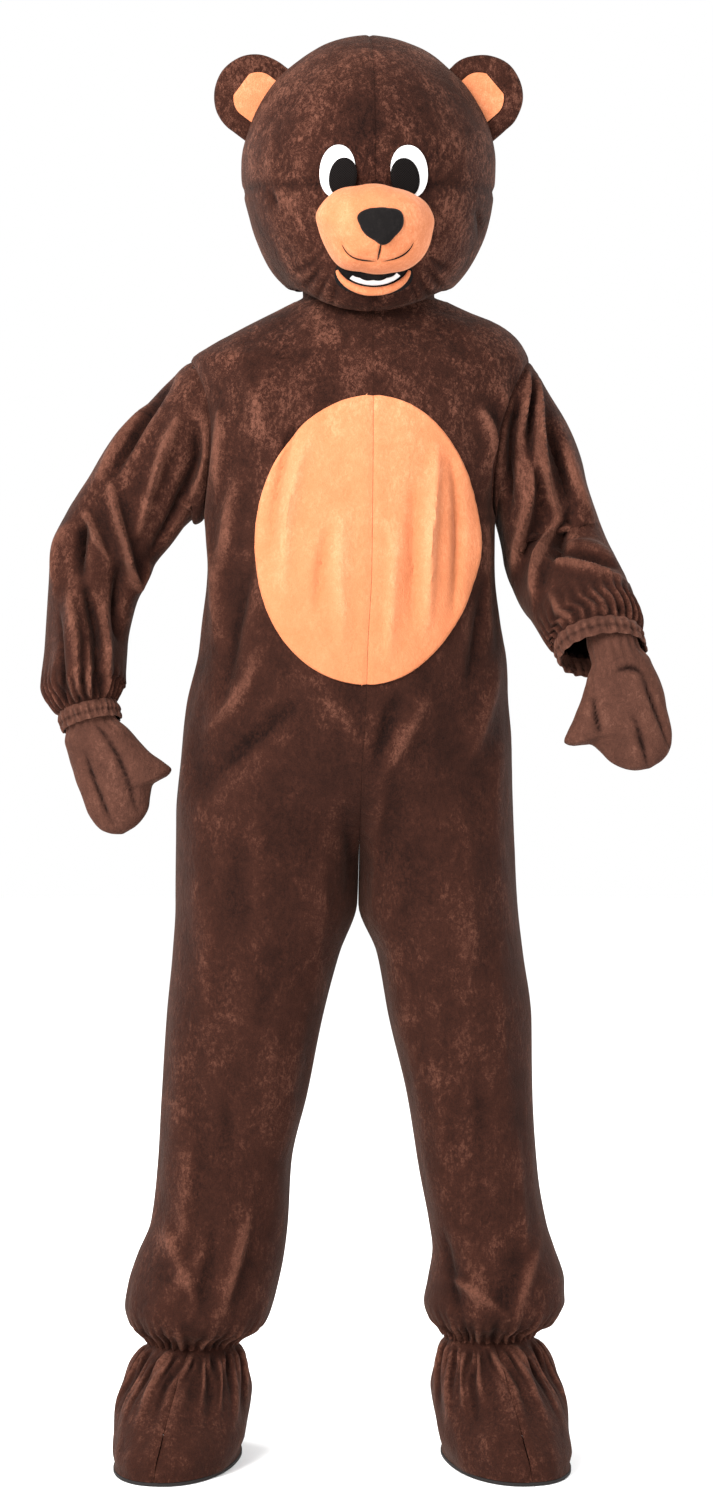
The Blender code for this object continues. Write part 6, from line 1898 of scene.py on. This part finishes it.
def plush(name):
    """Short pile: a blotchy nap, strongest high on the costume, with painted highlights on ridges,
    painted shade in troughs and painted shade low down on the legs.
    """
    dark_nap_and_shade, middle, pale_nap_and_highlight, mottle, painted_fold_light_gain, pile, sheen, sheen_colour = PLUSHES[name]
    paint = Paint(name)
    painted_fold_light = paint.node("ShaderNodeAttribute", {"attribute_name": "painted_fold_light"}, output="Fac")
    where = paint.node("ShaderNodeTexCoord", output="Object")
    height = paint.node("ShaderNodeSeparateXYZ", inputs={0: where}, output="Z")
    clouds = paint.noise(11.0, 3.0, 0.60, bend=0.6)
    blotches = paint.noise(46.0, 4.0, 0.66, stretch=(1.0, 1.0, 0.75), bend=1.2)
    flecks = paint.noise(240.0, 3.0, 0.70, stretch=(1.0, 1.0, 0.60), bend=0.4)
    patches = paint.noise(24.0, 5.0, 0.70, stretch=(1.0, 1.0, 0.80), bend=0.9)
    grain = paint.noise(640.0, 2.0, 0.7)
    gain = (height.ramp(-0.40, 0.05) * 0.40 + 0.60) * mottle
    tone = (clouds - 0.5) * 0.50 + (blotches - 0.5) * 0.60 + (grain - 0.5) * 1.0
    tone = tone + (patches - 0.5) * 1.00
    tone = tone + (flecks.ramp(0.36, 0.64) - 0.5) * (patches.ramp(0.38, 0.62) * 0.34 + 0.08)
    # Painted light: ridges of the relief paler as painted highlights, troughs darker as painted shade.
    tone = tone * gain + 0.5 + (painted_fold_light.ramp(-0.0045, 0.0050) - 0.474) * painted_fold_light_gain
    # Painted shade: a little darker down from the chest, darkest from the knees down.
    tone = tone + (height.ramp(-0.90, -0.10) - 1.0) * 0.07
    tone = tone - height.ramp(-0.95, -0.62) * height.ramp(-0.20, -0.50) * 0.08
    # The darkest colour stands for dark nap and painted shade; the palest for pale nap and painted
    # highlights.
    low = paint.mix((tone * 2.0).limited(), dark_nap_and_shade, middle)
    base = paint.mix((tone * 2.0 - 1.0).limited(), low, pale_nap_and_highlight)
    lumps = paint.bump(blotches, pile * 2.4, 0.5)
    normal = paint.bump(grain * 0.5 + flecks * 0.5, pile, 0.9, lumps)
    constants = {
        "Roughness": 0.95,
        "Specular IOR Level": 0.08,
        "Sheen Weight": sheen,
        "Sheen Roughness": 0.35,
        "Sheen Tint": sheen_colour,
    }
    return paint.finish(constants, Base_Color=base, Normal=normal)


def felt(name):
    paint = Paint(name)
    fuzz = paint.noise(900.0, 2.0, 0.6)
    clouds = paint.noise(60.0, 2.0, 0.5)
    share = (fuzz * 0.5 + clouds * 0.5).limited()
    base = paint.mix(share, colour(0.50, 0.48, 0.48), colour(0.70, 0.69, 0.69))
    normal = paint.bump(fuzz, 0.0005, 0.7)
    constants = {"Roughness": 0.9, "Specular IOR Level": 0.2, "Sheen Weight": 0.3}
    return paint.finish(constants, Base_Color=base, Normal=normal)


def mesh_cloth(name):
    """Black mesh: small round holes in slanted rows, drawn on the piece's own front view."""
    paint = Paint(name)
    place_at = paint.node("ShaderNodeTexCoord", output="Object")
    x = paint.node("ShaderNodeSeparateXYZ", inputs={0: place_at}, output="X")
    z = paint.node("ShaderNodeSeparateXYZ", inputs={0: place_at}, output="Z")
    first = ((x + z) * (math.pi / 0.0030)).math("SINE")
    second = ((x - z) * (math.pi / 0.0030)).math("SINE")
    thread = 1.0 - (first * second).math("ABSOLUTE").ramp(0.25, 0.75)
    base = paint.mix(thread, colour(0.0008, 0.0007, 0.0007), colour(0.0075, 0.0060, 0.0058))
    normal = paint.bump(thread, 0.0006, 0.8)
    constants = {"Roughness": 0.80, "Specular IOR Level": 0.04}
    return paint.finish(constants, Base_Color=base, Normal=normal)


def sole(name):
    paint = Paint(name)
    weave = paint.noise(700.0, 2.0, 0.6)
    base = paint.mix(weave, colour(0.006, 0.005, 0.005), colour(0.022, 0.018, 0.017))
    normal = paint.bump(weave, 0.0004, 0.6)
    return paint.finish({"Roughness": 0.88, "Specular IOR Level": 0.2}, Base_Color=base, Normal=normal)


def plain(name, shade, rough):
    return Paint(name).finish({"Base Color": shade, "Roughness": rough, "Specular IOR Level": 0.2})


MATERIALS = {}


# Camera, lights and floor

CAMERA = {"x": -0.012, "y": -4.6, "height": 1.100, "target_height": 0.9204, "lens": 84.9}
# Columns: place, target, size, power, colour.
LIGHTS = {
    "key": ((-2.2, -3.2, 3.2), (0.0, 0.0, 1.1), (2.0, 2.4), 430.0, (1.0, 0.985, 0.965)),
    "fill": ((2.8, -2.8, 1.7), (0.0, 0.0, 1.0), (2.2, 2.6), 50.0, (0.97, 0.985, 1.0)),
    "rim_left": ((-2.3, 2.0, 2.2), (0.0, 0.0, 1.1), (1.2, 2.4), 70.0, (1.0, 1.0, 1.0)),
    "rim_right": ((2.3, 2.0, 2.2), (0.0, 0.0, 1.1), (1.2, 2.4), 70.0, (1.0, 1.0, 1.0)),
}


def aim(piece, at, target):
    piece.location = Vector(at)
    piece.rotation_euler = (Vector(target) - Vector(at)).to_track_quat("-Z", "Y").to_euler()


def make_stage():
    points = np.array([(-9, -9, 0), (9, -9, 0), (9, 9, 0), (-9, 9, 0)], float)
    points[:, 2] = -NECK_HEIGHT - 0.0005
    floor = new_mesh("floor", points, [np.array([[0, 1, 2, 3]])], "floor")
    floor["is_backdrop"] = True
    for name, (at, target, size, strength, shade) in LIGHTS.items():
        lamp = bpy.data.lights.new(name, "AREA")
        lamp.shape = "RECTANGLE"
        lamp.size, lamp.size_y = size
        lamp.energy = strength
        lamp.color = shade
        light = bpy.data.objects.new(name, lamp)
        bpy.context.scene.collection.objects.link(light)
        down = np.array([0, 0, NECK_HEIGHT])
        aim(light, np.array(at) - down, np.array(target) - down)
    world = bpy.data.worlds.new("studio")
    world.use_nodes = True
    background = world.node_tree.nodes["Background"]
    background.inputs["Color"].default_value = (1.0, 1.0, 1.0, 1.0)
    background.inputs["Strength"].default_value = 1.0
    bpy.context.scene.world = world
    lens = bpy.data.cameras.new("camera")
    lens.lens = CAMERA["lens"]
    camera = bpy.data.objects.new("camera", lens)
    bpy.context.scene.collection.objects.link(camera)
    aim(
        camera,
        (CAMERA["x"], CAMERA["y"], CAMERA["height"] - NECK_HEIGHT),
        (CAMERA["x"], 0.0, CAMERA["target_height"] - NECK_HEIGHT),
    )
    bpy.context.scene.camera = camera
    bpy.context.scene.view_settings.view_transform = "Standard"


def corners():
    """Lowest and highest corner of what shows, as plain lists."""
    low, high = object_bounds()
    return [list(low), list(high)]


for startup in list(bpy.data.objects):
    bpy.data.objects.remove(startup)
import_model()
for plush_name in PLUSHES:
    MATERIALS[plush_name] = plush(plush_name)
MATERIALS["white_felt"] = felt("white_felt")
MATERIALS["black_mesh"] = mesh_cloth("black_mesh")
MATERIALS["sole_cloth"] = sole("sole_cloth")
MATERIALS["floor"] = plain("floor", colour(0.96, 0.96, 0.96), 0.9)
make_body()
make_belly()
make_back_flap()
make_sleeves()
make_cuffs()
make_neckband()
make_mittens()
make_covers()
make_head()
make_flat_pieces()
make_muzzle()
make_mouth()
make_ears()
make_stage()
